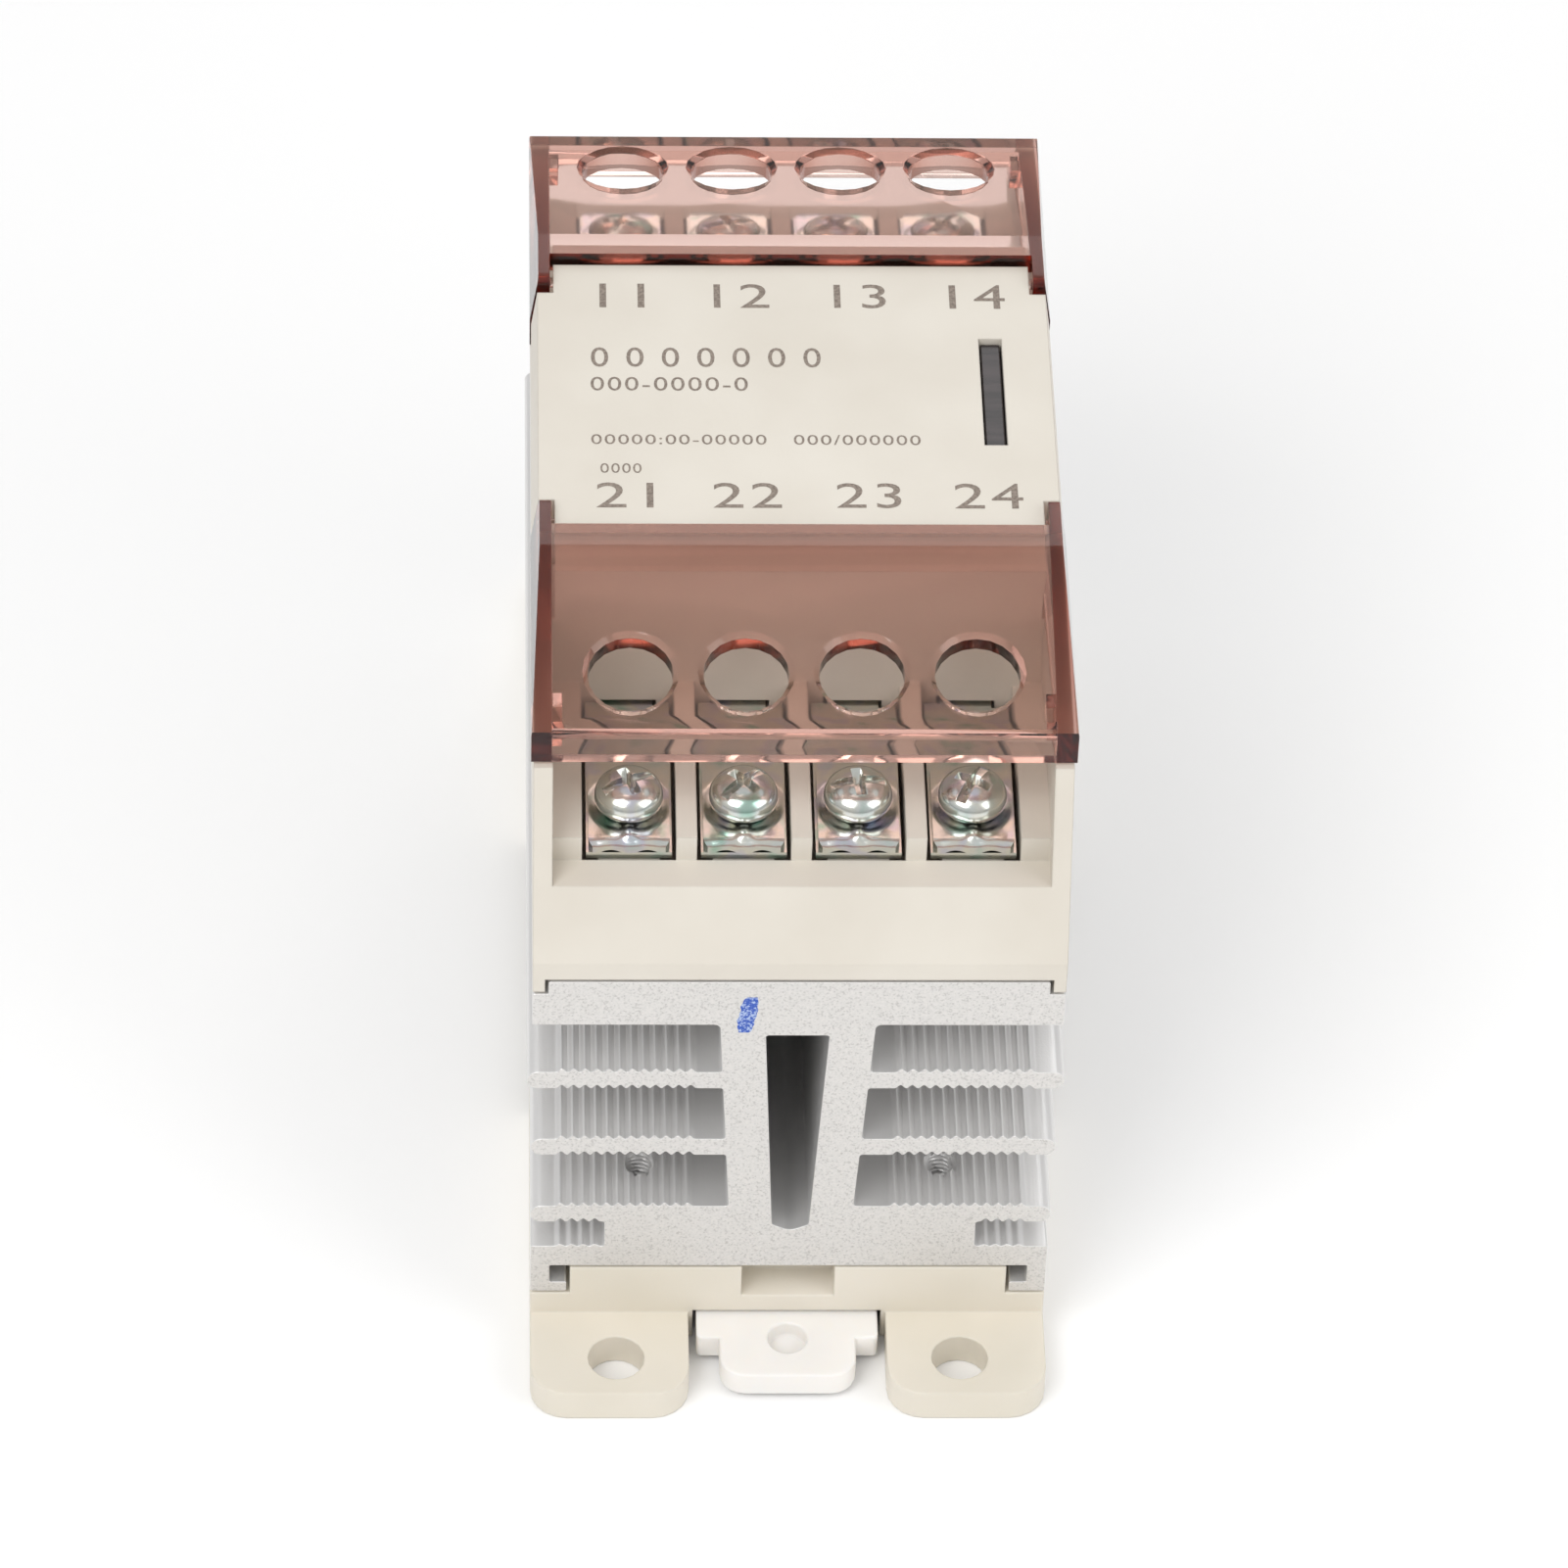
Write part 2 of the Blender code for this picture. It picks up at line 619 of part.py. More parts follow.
def cut_terminal_end(housing, end):
    """Bays, dividers, screw holes and the slots that the terminals run through."""
    name = END_NAMES[end]
    wall_x = HOUSING_HALF_WIDTH - SIDE_WALL
    over_dividers = prism(
        f"cut_{name}_over_dividers",
        facing(end, open_above(BOSS_END_Y, DIVIDER_TOP)),
        "x",
        -wall_x,
        wall_x,
    )
    cut(housing, over_dividers)
    over_ledge = prism(
        f"cut_{name}_over_ledge",
        facing(end, open_above(LEDGE_REAR_Y, LEDGE_Z)),
        "x",
        -wall_x,
        wall_x,
    )
    cut(housing, over_ledge)
    for index in range(TERMINAL_COUNT):
        x = terminal_x(index)
        half_bay = BAY_WIDTH / 2
        tag = f"{name}_{index + 1}"
        y_low, y_high = sorted((end * BOSS_END_Y, end * LEDGE_REAR_Y))
        bay_low = (x - half_bay, y_low, BAY_FLOOR)
        bay_high = (x + half_bay, y_high, DIVIDER_TOP + MM)
        cut(housing, block(f"cut_bay_{tag}", bay_low, bay_high))
        for side in (-1, 1):
            x_low, x_high = sorted((x + side * PEDESTAL_HALF_WIDTH, x + side * half_bay))
            gutter = block(
                f"cut_gutter_{tag}_{'left' if side < 0 else 'right'}",
                (x_low, y_low, BAY_GUTTER),
                (x_high, y_high, BAY_FLOOR + MM),
            )
            cut(housing, gutter)
        hole_place = (x, end * SCREW_Y, SCREW_HOLE_BOTTOM)
        hole_radius = SCREW_SHANK_RADIUS + SCREW_CLEARANCE
        hole = cylinder(f"cut_screw_{tag}", hole_place, hole_radius, DIVIDER_TOP - SCREW_HOLE_BOTTOM)
        cut(housing, hole)
        slot_low, slot_high = sorted((end * (CAVITY_END_Y - MM), end * (BOSS_END_Y + MM)))
        slot_x = TONGUE_HALF_WIDTH + GAP
        slot = block(
            f"cut_slot_{tag}",
            (x - slot_x, slot_low, BAY_FLOOR),
            (x + slot_x, slot_high, BAY_FLOOR + PLATE_THICKNESS + 2 * GAP),
        )
        cut(housing, slot)


def make_housing(finishes):
    housing = prism(
        "housing", housing_side_outline(), "x", -2 * CHEEK_HALF_WIDTH, 2 * CHEEK_HALF_WIDTH, finishes["case"]
    )
    envelope = prism("keep_housing_section", housing_front_outline(), "y", -FAR_OUT, FAR_OUT)
    combine(housing, envelope, "INTERSECT")
    join(housing, prism("join_boss", boss_outline(), "x", -BOSS_HALF_WIDTH, BOSS_HALF_WIDTH))
    for side in (-1, 1):
        tab_inner = SINK_WIDTH / 2 - REBATE_WIDTH + GAP
        tab_low, tab_high = sorted((side * tab_inner, side * HOUSING_HALF_WIDTH))
        tab = block(
            f"join_tab_{'left' if side < 0 else 'right'}",
            (tab_low, -SINK_LENGTH / 2, SINK_TOP - REBATE_DEPTH + GAP),
            (tab_high, SINK_LENGTH / 2, SINK_TOP + MM),
        )
        join(housing, tab)
    cavity_x = BOSS_HALF_WIDTH - BOSS_WALL
    belly_x = HOUSING_HALF_WIDTH - BELLY_WALL
    belly_y = SINK_LENGTH / 2 - BELLY_END_WALL
    cut(
        housing,
        block(
            "cut_cavity",
            (-cavity_x, -CAVITY_END_Y, SINK_TOP - MM),
            (cavity_x, CAVITY_END_Y, LABEL_TOP - LABEL_WALL),
        ),
    )
    cut(
        housing,
        block(
            "cut_belly",
            (-belly_x, -belly_y, SINK_TOP - MM),
            (belly_x, belly_y, BELLY_TOP),
        ),
    )
    for end in (NEAR, FAR):
        cut_terminal_end(housing, end)
    for number, (x, y) in enumerate(post_places(), 1):
        low = BOARD_Z + BOARD_THICKNESS + GAP
        post_length = LABEL_TOP - MM - low
        join(housing, cylinder(f"join_post_{number}", (x, y, low), POST_RADIUS, post_length))
        bore = SMALL_SCREW_RADIUS + GAP / 2
        cut(housing, cylinder(f"cut_post_{number}", (x, y, low - MM), bore, post_length))
    window = block(
        "cut_window",
        (WINDOW_X - WINDOW_WIDTH / 2, WINDOW_Y - WINDOW_LENGTH / 2, LABEL_TOP - LABEL_WALL - MM),
        (WINDOW_X + WINDOW_WIDTH / 2, WINDOW_Y + WINDOW_LENGTH / 2, LABEL_TOP + MM),
    )
    cut(housing, window)
    for end in (NEAR, FAR):
        for side in (-1, 1):
            inner = side * (COVER_INNER_X - PIVOT_PIN_REACH - GAP)
            outer = side * (BOSS_HALF_WIDTH + GAP)
            socket = rod_along_x(
                f"cut_pivot_{END_NAMES[end]}_{'left' if side < 0 else 'right'}",
                inner,
                outer,
                end * PIVOT_Y,
                PIVOT_Z,
                PIVOT_PIN_RADIUS + PIVOT_PIN_PLAY,
            )
            cut(housing, socket)


# --- terminals -------------------------------------------------------------


def make_terminal(end, index, finishes):
    """A terminal plate, the clamp on it and the screw that draws the clamp down."""
    name = END_NAMES[end]
    x = terminal_x(index)
    plate_low = BAY_FLOOR + GAP
    plate_high = plate_low + PLATE_THICKNESS
    wide = PLATE_HALF_WIDTH
    narrow = TONGUE_HALF_WIDTH
    outline = [
        (x - wide, end * (LEDGE_REAR_Y - GAP)),
        (x + wide, end * (LEDGE_REAR_Y - GAP)),
        (x + wide, end * (BOSS_END_Y + 2 * GAP)),
        (x + narrow, end * (BOSS_END_Y + 2 * GAP)),
        (x + narrow, end * (TONGUE_END_Y - PLATE_THICKNESS)),
        (x - narrow, end * (TONGUE_END_Y - PLATE_THICKNESS)),
        (x - narrow, end * (BOSS_END_Y + 2 * GAP)),
        (x - wide, end * (BOSS_END_Y + 2 * GAP)),
    ]
    plate = prism(f"{name}_plate_{index + 1}", outline, "z", plate_low, plate_high, finishes["zinc"])
    riser_low, riser_high = sorted((end * TONGUE_END_Y, end * (TONGUE_END_Y - PLATE_THICKNESS)))
    riser = block(
        f"join_riser_{name}_{index + 1}",
        (x - narrow, riser_low, plate_low),
        (x + narrow, riser_high, TONGUE_TOP),
    )
    join(plate, riser)
    screw_y = end * SCREW_Y
    hole_radius = SCREW_SHANK_RADIUS + SCREW_CLEARANCE
    hole = cylinder(f"cut_plate_{name}_{index + 1}", (x, screw_y, plate_low - MM), hole_radius, 3 * MM)
    cut(plate, hole)

    clamp_low = plate_high + GAP
    clamp_high = clamp_low + CLAMP_THICKNESS
    y_low, y_high = sorted((end * (SCREW_Y + CLAMP_FRONT), end * (SCREW_Y - CLAMP_REAR)))
    clamp = block(
        f"{name}_clamp_{index + 1}",
        (x - CLAMP_HALF_WIDTH, y_low, clamp_low),
        (x + CLAMP_HALF_WIDTH, y_high, clamp_high),
        finishes["zinc"],
    )
    hole = cylinder(f"cut_clamp_{name}_{index + 1}", (x, screw_y, clamp_low - MM), hole_radius, 4 * MM)
    cut(clamp, hole)
    set_origin(clamp, (x, screw_y, clamp_low))

    head_low = clamp_high + GAP
    tip = SCREW_HOLE_BOTTOM + SCREW_TIP_ROOM - head_low
    height = SCREW_HEAD_HEIGHT
    radius = SCREW_HEAD_RADIUS
    profile = [
        (0.0, tip),
        (SCREW_SHANK_RADIUS, tip),
        (SCREW_SHANK_RADIUS, 0.0),
        (radius * 0.96, 0.0),
        (radius, height * 0.22),
        (radius * 0.93, height * 0.6),
        (radius * 0.68, height * 0.88),
        (0.0, height),
    ]
    lathe(f"{name}_screw_{index + 1}", profile, (x, screw_y, head_low), finishes["zinc"])


# --- covers ----------------------------------------------------------------


def cover_top():
    return LABEL_TOP + COVER_RISE


def cover_slope_height(outward):
    """Height of the cover's sloping outer face at one distance out."""
    return cover_top() - max(0.0, outward - COVER_FOLD_Y) * math.tan(COVER_SLOPE)


def cover_side_outline():
    nose = arc((COVER_NOSE_Y + NOSE_RADIUS, cover_top() - NOSE_RADIUS), NOSE_RADIUS, 180, 90)
    return [
        *nose,
        (COVER_FOLD_Y, cover_top()),
        (COVER_FRONT_Y, cover_slope_height(COVER_FRONT_Y)),
        (COVER_FRONT_Y, COVER_SIDE_BOTTOM),
        (COVER_NOSE_Y, COVER_SIDE_BOTTOM),
    ]


def cover_front_outline():
    """Side plates that lean in above the draft line, with upright inner faces."""
    return mirrored(
        [
            (COVER_HALF_WIDTH, 0.0),
            (COVER_HALF_WIDTH, LABEL_TOP - DRAFT_HEIGHT),
            (CHEEK_HALF_TOP, cover_top() + GAP),
        ]
    )


def cover_hollow_outline():
    """What is taken out from between the side plates: all of it inward of the top plate's edge,
    and the space under the top plate behind the lip."""
    under = COVER_THICKNESS
    lip_y = COVER_FRONT_Y - COVER_LIP
    low = COVER_SIDE_BOTTOM - MM
    return [
        (COVER_NOSE_Y - MM, low),
        (COVER_NOSE_Y - MM, cover_top() + MM),
        (COVER_EDGE_Y, cover_top() + MM),
        (COVER_EDGE_Y, cover_top() - under),
        (COVER_FOLD_Y, cover_top() - under),
        (lip_y, cover_slope_height(lip_y) - under),
        (lip_y, low),
    ]


def make_cover(end, finishes):
    name = END_NAMES[end]
    cover = prism(
        f"{name}_cover",
        facing(end, cover_side_outline()),
        "x",
        -2 * COVER_HALF_WIDTH,
        2 * COVER_HALF_WIDTH,
        finishes["cover"],
    )
    section = prism(f"keep_{name}_section", cover_front_outline(), "y", -FAR_OUT, FAR_OUT)
    combine(cover, section, "INTERSECT")
    hollow = prism(
        f"cut_{name}_hollow", facing(end, cover_hollow_outline()), "x", -COVER_INNER_X, COVER_INNER_X
    )
    cut(cover, hollow)
    chamfer = COVER_HOLE_RIM - COVER_HOLE_RADIUS
    deep = 2 * COVER_THICKNESS
    profile = [
        (0.0, -deep),
        (COVER_HOLE_RADIUS, -deep),
        (COVER_HOLE_RADIUS, -chamfer),
        (COVER_HOLE_RIM, 0.0),
        (COVER_HOLE_RIM, MM),
        (0.0, MM),
    ]
    for index in range(TERMINAL_COUNT):
        centre = (terminal_x(index), end * COVER_HOLE_Y, cover_slope_height(COVER_HOLE_Y))
        hole = lathe(f"cut_{name}_hole_{index + 1}", profile, centre, tilt=-end * COVER_SLOPE)
        cut(cover, hole)
    for side in (-1, 1):
        tag = f"{name}_{'left' if side < 0 else 'right'}"
        inner = side * (COVER_INNER_X - PIVOT_PIN_REACH)
        outer = side * (COVER_INNER_X + GAP)
        pin = rod_along_x(f"join_pin_{tag}", inner, outer, end * PIVOT_Y, PIVOT_Z, PIVOT_PIN_RADIUS)
        join(cover, pin)
        nub_end = COVER_FRONT_Y - NUB_FROM_FRONT
        x_low, x_high = sorted((side * (COVER_INNER_X - NUB_REACH), outer))
        y_low, y_high = sorted((end * (nub_end - NUB_LENGTH), end * nub_end))
        nub_low = COVER_SIDE_BOTTOM + GAP
        nub = block(f"join_nub_{tag}", (x_low, y_low, nub_low), (x_high, y_high, nub_low + NUB_HEIGHT))
        join(cover, nub)
    set_origin(cover, (0.0, end * PIVOT_Y, PIVOT_Z))


# --- electronics -----------------------------------------------------------


def post_places():
    return [(-POST_X, -POST_Y), (POST_X, POST_Y)]


def make_power_modules(finishes):
    """Three triacs on an insulating pad, each held to the sink by its own screw."""
    pad_low = SINK_TOP + GAP
    pad_high = pad_low + PAD_THICKNESS
    pad_x = module_x(MODULE_COUNT - 1) + MODULE_SIZE[0] / 2
    pad_y = MODULE_SIZE[1] / 2 + MM
    pad = block(
        "insulating_pad", (-pad_x, -pad_y, pad_low), (pad_x, pad_y, pad_high), finishes["ceramic"]
    )
    low = pad_high + GAP
    high = low + MODULE_SIZE[2]
    clearance = THREAD_RADIUS + GAP
    for index in range(MODULE_COUNT):
        x = module_x(index)
        cut(pad, cylinder(f"cut_pad_{index + 1}", (x, MODULE_SCREW_Y, pad_low - MM), clearance, 3 * MM))
        half_x = MODULE_SIZE[0] / 2 - GAP
        half_y = MODULE_SIZE[1] / 2
        module = block(
            f"triac_{index + 1}",
            (x - half_x, -half_y, low),
            (x + half_x, half_y, high),
            finishes["module"],
        )
        hole_place = (x, MODULE_SCREW_Y, low - MM)
        cut(module, cylinder(f"cut_triac_{index + 1}", hole_place, clearance, 2 * MODULE_SIZE[2]))
        for lead in (-1, 0, 1):
            lead_x = x + lead * LEAD_PITCH
            half = LEAD_WIDTH / 2
            leg = block(
                f"join_lead_{index + 1}_{lead + 2}",
                (lead_x - half, half_y - LEAD_WIDTH, high - MM),
                (lead_x + half, half_y, BOARD_Z - GAP),
            )
            join(module, leg)
        shank = THREAD_RADIUS - GAP
        head = base_head_radius()
        bottom = SINK_PLATE_BOTTOM + 2 * GAP - high
        profile = [
            (0.0, bottom),
            (shank, bottom),
            (shank, GAP),
            (head, GAP),
            (head, SCREW_HEAD_HEIGHT),
            (0.0, SCREW_HEAD_HEIGHT),
        ]
        lathe(f"triac_screw_{index + 1}", profile, (x, MODULE_SCREW_Y, high), finishes["zinc"])


def make_board(finishes):
    board_top = BOARD_Z + BOARD_THICKNESS
    board_x = BOSS_HALF_WIDTH - BOSS_WALL - BOARD_SIDE_PLAY
    board_y = TONGUE_END_Y - PLATE_THICKNESS - BOARD_TO_TONGUE
    board = block(
        "control_board",
        (-board_x, -board_y, BOARD_Z),
        (board_x, board_y, board_top),
        finishes["board"],
    )
    for number, (x, y) in enumerate(post_places(), 1):
        cut(board, cylinder(f"cut_board_{number}", (x, y, BOARD_Z - MM), SMALL_SCREW_RADIUS + GAP, 4 * MM))
        tip = BOARD_THICKNESS + 3 * MM
        profile = [
            (0.0, -GAP - SMALL_HEAD_HEIGHT),
            (SMALL_HEAD_RADIUS, -GAP - SMALL_HEAD_HEIGHT),
            (SMALL_HEAD_RADIUS, -GAP),
            (SMALL_SCREW_RADIUS - GAP / 2, -GAP),
            (SMALL_SCREW_RADIUS - GAP / 2, tip),
            (0.0, tip),
        ]
        lathe(f"board_screw_{number}", profile, (x, y, BOARD_Z), finishes["zinc"])
    for index in range(MODULE_COUNT):
        x = (index - 1) * OPTO_SIZE[1]
        half_x, half_y = OPTO_SIZE[0] / 2, OPTO_SIZE[1] / 2
        low = board_top + GAP
        block(
            f"optocoupler_{index + 1}",
            (x - half_x, -half_y, low),
            (x + half_x, half_y, low + OPTO_SIZE[2]),
            finishes["module"],
        )
        x = module_x(index)
        half_x, half_y = CAPACITOR_SIZE[0] / 2, CAPACITOR_SIZE[1] / 2
        high = BOARD_Z - GAP
        block(
            f"snubber_capacitor_{index + 1}",
            (x - half_x, CAPACITOR_Y - half_y, high - CAPACITOR_SIZE[2]),
            (x + half_x, CAPACITOR_Y + half_y, high),
            finishes["film"],
        )


def make_indicator(finishes):
    """The lamp on the board and the lens in the label above it."""
    low = BOARD_Z + BOARD_THICKNESS + GAP
    lens_low = LABEL_TOP - LABEL_WALL
    dome = LED_RADIUS
    height = lens_low - GAP - low
    profile = [(0.0, 0.0), (dome, 0.0), (dome, height - dome)]
    profile += [(dome * math.cos(turn), height - dome + dome * math.sin(turn)) for turn in (0.5, 1.05)]
    profile.append((0.0, height))
    lathe("indicator_led", profile, (WINDOW_X, WINDOW_Y, low), finishes["led"])
    play = GAP / 2
    block(
        "indicator_window",
        (WINDOW_X - WINDOW_WIDTH / 2 + play, WINDOW_Y - WINDOW_LENGTH / 2 + play, lens_low),
        (WINDOW_X + WINDOW_WIDTH / 2 - play, WINDOW_Y + WINDOW_LENGTH / 2 - play, LABEL_TOP - WINDOW_RECESS),
        finishes["lens"],
    )


def main():
    clear_scene()
    finishes = make_materials()
    make_heat_sink(finishes)
    make_mounting_base(finishes)
    make_base_screws(finishes)
    make_rail_clip(finishes)
    make_housing(finishes)
    for end in (NEAR, FAR):
        for index in range(TERMINAL_COUNT):
            make_terminal(end, index, finishes)
        make_cover(end, finishes)
    make_power_modules(finishes)
    make_board(finishes)
    make_indicator(finishes)


main()
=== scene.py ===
"""Looks of a solid state relay: ribbed heat sink, moulded housing and base, clear brown
terminal covers, zinc-plated screws and clamps, nylon rail clip and a marked label.

Sizes are in metres, +Z up, with the load terminals and the rail clip towards -Y.
"""

import math

import bmesh
import bpy
import numpy as np
from mathutils import Matrix, Vector
from mathutils.geometry import delaunay_2d_cdt


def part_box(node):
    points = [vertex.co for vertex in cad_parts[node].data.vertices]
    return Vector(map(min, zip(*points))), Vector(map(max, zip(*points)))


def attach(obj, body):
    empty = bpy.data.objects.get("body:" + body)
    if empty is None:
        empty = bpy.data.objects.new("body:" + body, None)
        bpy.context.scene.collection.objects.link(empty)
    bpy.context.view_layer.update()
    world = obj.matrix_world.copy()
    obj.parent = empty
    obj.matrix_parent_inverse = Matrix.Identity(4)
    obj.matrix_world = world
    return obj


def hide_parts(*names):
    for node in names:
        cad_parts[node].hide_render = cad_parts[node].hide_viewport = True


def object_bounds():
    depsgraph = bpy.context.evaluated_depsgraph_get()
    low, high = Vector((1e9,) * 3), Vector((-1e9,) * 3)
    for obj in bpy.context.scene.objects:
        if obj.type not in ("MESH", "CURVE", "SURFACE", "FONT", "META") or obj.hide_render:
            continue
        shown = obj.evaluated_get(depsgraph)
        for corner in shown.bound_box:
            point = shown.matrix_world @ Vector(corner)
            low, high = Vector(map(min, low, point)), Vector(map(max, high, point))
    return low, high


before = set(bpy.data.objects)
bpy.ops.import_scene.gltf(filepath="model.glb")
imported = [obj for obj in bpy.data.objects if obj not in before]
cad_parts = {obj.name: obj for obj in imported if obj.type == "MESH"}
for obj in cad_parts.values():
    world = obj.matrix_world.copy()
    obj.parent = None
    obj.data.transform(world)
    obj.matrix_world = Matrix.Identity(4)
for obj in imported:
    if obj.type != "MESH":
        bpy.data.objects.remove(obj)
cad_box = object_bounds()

MM = 0.001
BODY = "relay"
TERMINALS = range(1, 5)
ENDS = {"load": -1, "line": 1}

# Heat sink section, half of it, from its middle plane outwards
SINK_LOW, SINK_HIGH = (np.array(corner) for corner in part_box("heat_sink"))
SINK_HALF = 22.5 * MM
REBATE_WIDTH, REBATE_DEPTH = 1.35 * MM, 1.45 * MM
PLATE_UNDERSIDE = 39.7 * MM
FIN_CENTRES = (32.85 * MM, 24.5 * MM, 15.95 * MM)
FIN_TIPS = (22.92 * MM, 22.55 * MM, 22.55 * MM)
FIN_HALF = 1.0 * MM
WEB_TOP, WEB_BOTTOM = 6.6 * MM, 5.35 * MM
FOOT_PLATE_TOP = 11.8 * MM
FOOT_PLATE_BOTTOM = 9.3 * MM
LOWEST_GAP_REACH = 16.1 * MM
HOOK_LEG, HOOK_REACH, HOOK_TOE = 1.65 * MM, 3.15 * MM, 1.15 * MM
EDGE_RADIUS, ROOT_RADIUS, REBATE_RADIUS = 0.2 * MM, 0.55 * MM, 0.1 * MM
FIN_ROOT_RADIUS, FIN_TIP_RADIUS = 0.3 * MM, 0.95 * MM
CUT_EDGE = 0.05 * MM
RIB_PITCH = 1.0 * MM
RIB_HEIGHT = 0.4 * MM
RIB_START, RIB_COUNT = 8.45 * MM, 12
FOOT_RIB_SHARE = 0.6
OUTLINE_STEP = 0.1 * MM

# Hollow core, half of it: (x, z, corner radius) in millimetres, from the top down
CORE = [(2.7, 38.4, 0.25), (1.6, 14.6, 0.35), (0.0, 13.75, 1.5)]

# Tapped holes in the lowest fin and the foot plate, and how far their cutters run past the metal
TAPPED_X, TAPPED_Y = 13.1 * MM, 39.6 * MM
TAP_BELOW, TAP_ABOVE = 0.5 * MM, 0.6 * MM
THREAD_PITCH = 0.5 * MM
THREAD_MEAN, THREAD_DEPTH = 1.38 * MM, 0.2 * MM
RINGS_PER_PITCH = 8

# Terminal screws: the head's underside is (step in from the head's radius, height)
HEAD_RADIUS, HEAD_HEIGHT, RIM_HEIGHT = 2.92 * MM, 2.85 * MM, 0.75 * MM
HEAD_UNDERSIDE = np.array([(0.75, 0.0), (0.22, 0.28), (0.05, 0.55)]) * MM
SHANK_RADIUS, SHANK_THREAD_DEPTH = 1.5 * MM, 0.28 * MM
SHANK_SHOULDER, THREAD_RUN_OUT = 0.1 * MM, 0.3 * MM
HEAD_TURNS = {"load": (24, 43, 8, 61), "line": (70, 15, 38, 52)}
WING_LENGTH, WING_WIDTH, WING_DEPTH, WING_TAPER = 4.5 * MM, 1.2 * MM, 1.5 * MM, 0.42
SLOT_LENGTH, SLOT_WIDTH, SLOT_DEPTH, SLOT_TAPER = 5.0 * MM, 0.95 * MM, 0.75 * MM, 0.92
SCREW_EDGE, SCREW_EDGE_ANGLE = 0.07 * MM, 38.0

# Terminal clamps: a pair is where a relief starts and where it is full, measured from the screw
CLAMP_HALF, CLAMP_FRONT, CLAMP_REAR = 3.4 * MM, 4.95 * MM, 4.0 * MM
CLAMP_THICK, CLAMP_DROP = 1.0 * MM, 0.27 * MM
CLAMP_BORE_GAP = 0.35 * MM
CORNER_LENGTH, CORNER_SHARE = 0.9 * MM, 0.1
DISH_DEPTH, DISH_EDGE = 0.16 * MM, (2.9 * MM, 3.7 * MM)
CREST_HEIGHT, CREST_SPREAD = 0.34 * MM, 0.62 * MM
CREST_RISE, CREST_FALL = (2.2 * MM, 3.2 * MM), (4.0 * MM, 4.6 * MM)
ARCH_X, ARCH_SPAN, ARCH_RISE = 1.7 * MM, 2.4 * MM, (2.4 * MM, 4.4 * MM)
ARCH_ABOVE, ARCH_BELOW = 0.12 * MM, 0.4 * MM
DROOP_DEPTH, DROOP_START = 0.3 * MM, 3.9 * MM

# Mouldings: an edge over the first angle is rounded, and one under the second is flat, in degrees
MOULD_ANGLE = 30.0
FLAT_ANGLE = 0.5

# Label marks: (text, x, y, height, width) in millimetres, each line centred on x and y
DIGIT_HEIGHT = 3.1
DIGIT_STRETCH = 1.3
COLUMN_X = (-14.75, -4.38, 5.91, 16.09)
ROW_Y = {"1": 12.85, "2": -12.6}
MARK_LINES = [
    ("0 0 0 0 0 0 0", -7.6, 4.85, 2.5, 19.8),
    ("000-0000-0", -10.8, 1.43, 1.75, 13.5),
    ("00000:00-00000   000/000000", -3.5, -5.62, 1.25, 28.1),
    ("0000", -15.05, -9.25, 1.2, 3.5),
]
MARK_SPACING = 1.12
MARK_THICKNESS = 0.012 * MM

# Felt-pen dab on the sink's end: its middle, its lean, its height and half its width
INK_X, INK_LEAN = -4.3 * MM, 0.6 * MM
INK_LOW, INK_HEIGHT = 38.8 * MM, 4.3 * MM
INK_HALF, INK_WANDER = 0.74 * MM, 0.1 * MM
INK_THICKNESS = 0.01 * MM

# Camera: where it looks, how far off it is and how it is turned, matched to a long lens
LENS, SENSOR = 191.1, 36.0
CAMERA_AIM = np.array((0.0, -29.5, 45.0)) * MM
CAMERA_SHIFT = np.array((0.988, -6.079, 711.129)) * MM
CAMERA_YAW, CAMERA_DROP, CAMERA_ROLL = (math.radians(turn) for turn in (2.914, 44.763, -2.171))

# Studio: each lamp's place in metres and its power in watts
FLOOR_REACH, FLOOR_GAP = 3.0, 0.05 * MM
SKY_STRENGTH = 0.76
LAMP_SIZE, LAMP_AIM = 0.30, Vector((0.0, 0.0, 0.04))
LAMPS = {
    "key": ((-0.22, -0.30, 0.45), 1.25),
    "fill": ((0.35, -0.22, 0.30), 0.55),
    "back": ((0.05, 0.40, 0.45), 0.38),
}


# --- shaders ------------------------------------------------------------------


def linear(hex_code):
    """An sRGB hex colour as linear red, green, blue and alpha."""
    share = np.array([int(hex_code[at : at + 2], 16) for at in (1, 3, 5)]) / 255
    low, high = share / 12.92, ((share + 0.055) / 1.055) ** 2.4
    return (*np.where(share <= 0.04045, low, high).tolist(), 1.0)


def repeats(size_mm):
    """Pattern scale on Object coordinates for features of this size."""
    return 1.0 / (size_mm * MM)


def connect(tree, made, sockets):
    """Sets a node's own sockets to values, or links them."""
    for name, value in sockets.items():
        socket = made.inputs[name]
        if isinstance(value, bpy.types.NodeSocket):
            tree.links.new(value, socket)
        else:
            socket.default_value = value


def node(tree, kind, inputs=None, stops=None, **settings):
    """Adds a node: its properties, its colour stops, and its sockets as values or as links."""
    made = tree.nodes.new(kind)
    for name, value in settings.items():
        setattr(made, name, value)
    for position, (place, colour) in enumerate(stops or []):
        marks = made.color_ramp.elements
        mark = marks[position] if position < len(marks) else marks.new(place)
        mark.position = place
        mark.color = linear(colour)
    connect(tree, made, inputs or {})
    return made


def blank(name):
    """A material with a Principled shader, its node tree and the piece's own coordinates."""
    made = bpy.data.materials.new(name)
    made.use_nodes = True
    tree = made.node_tree
    place = node(tree, "ShaderNodeTexCoord").outputs["Object"]
    return made, tree, tree.nodes["Principled BSDF"], place


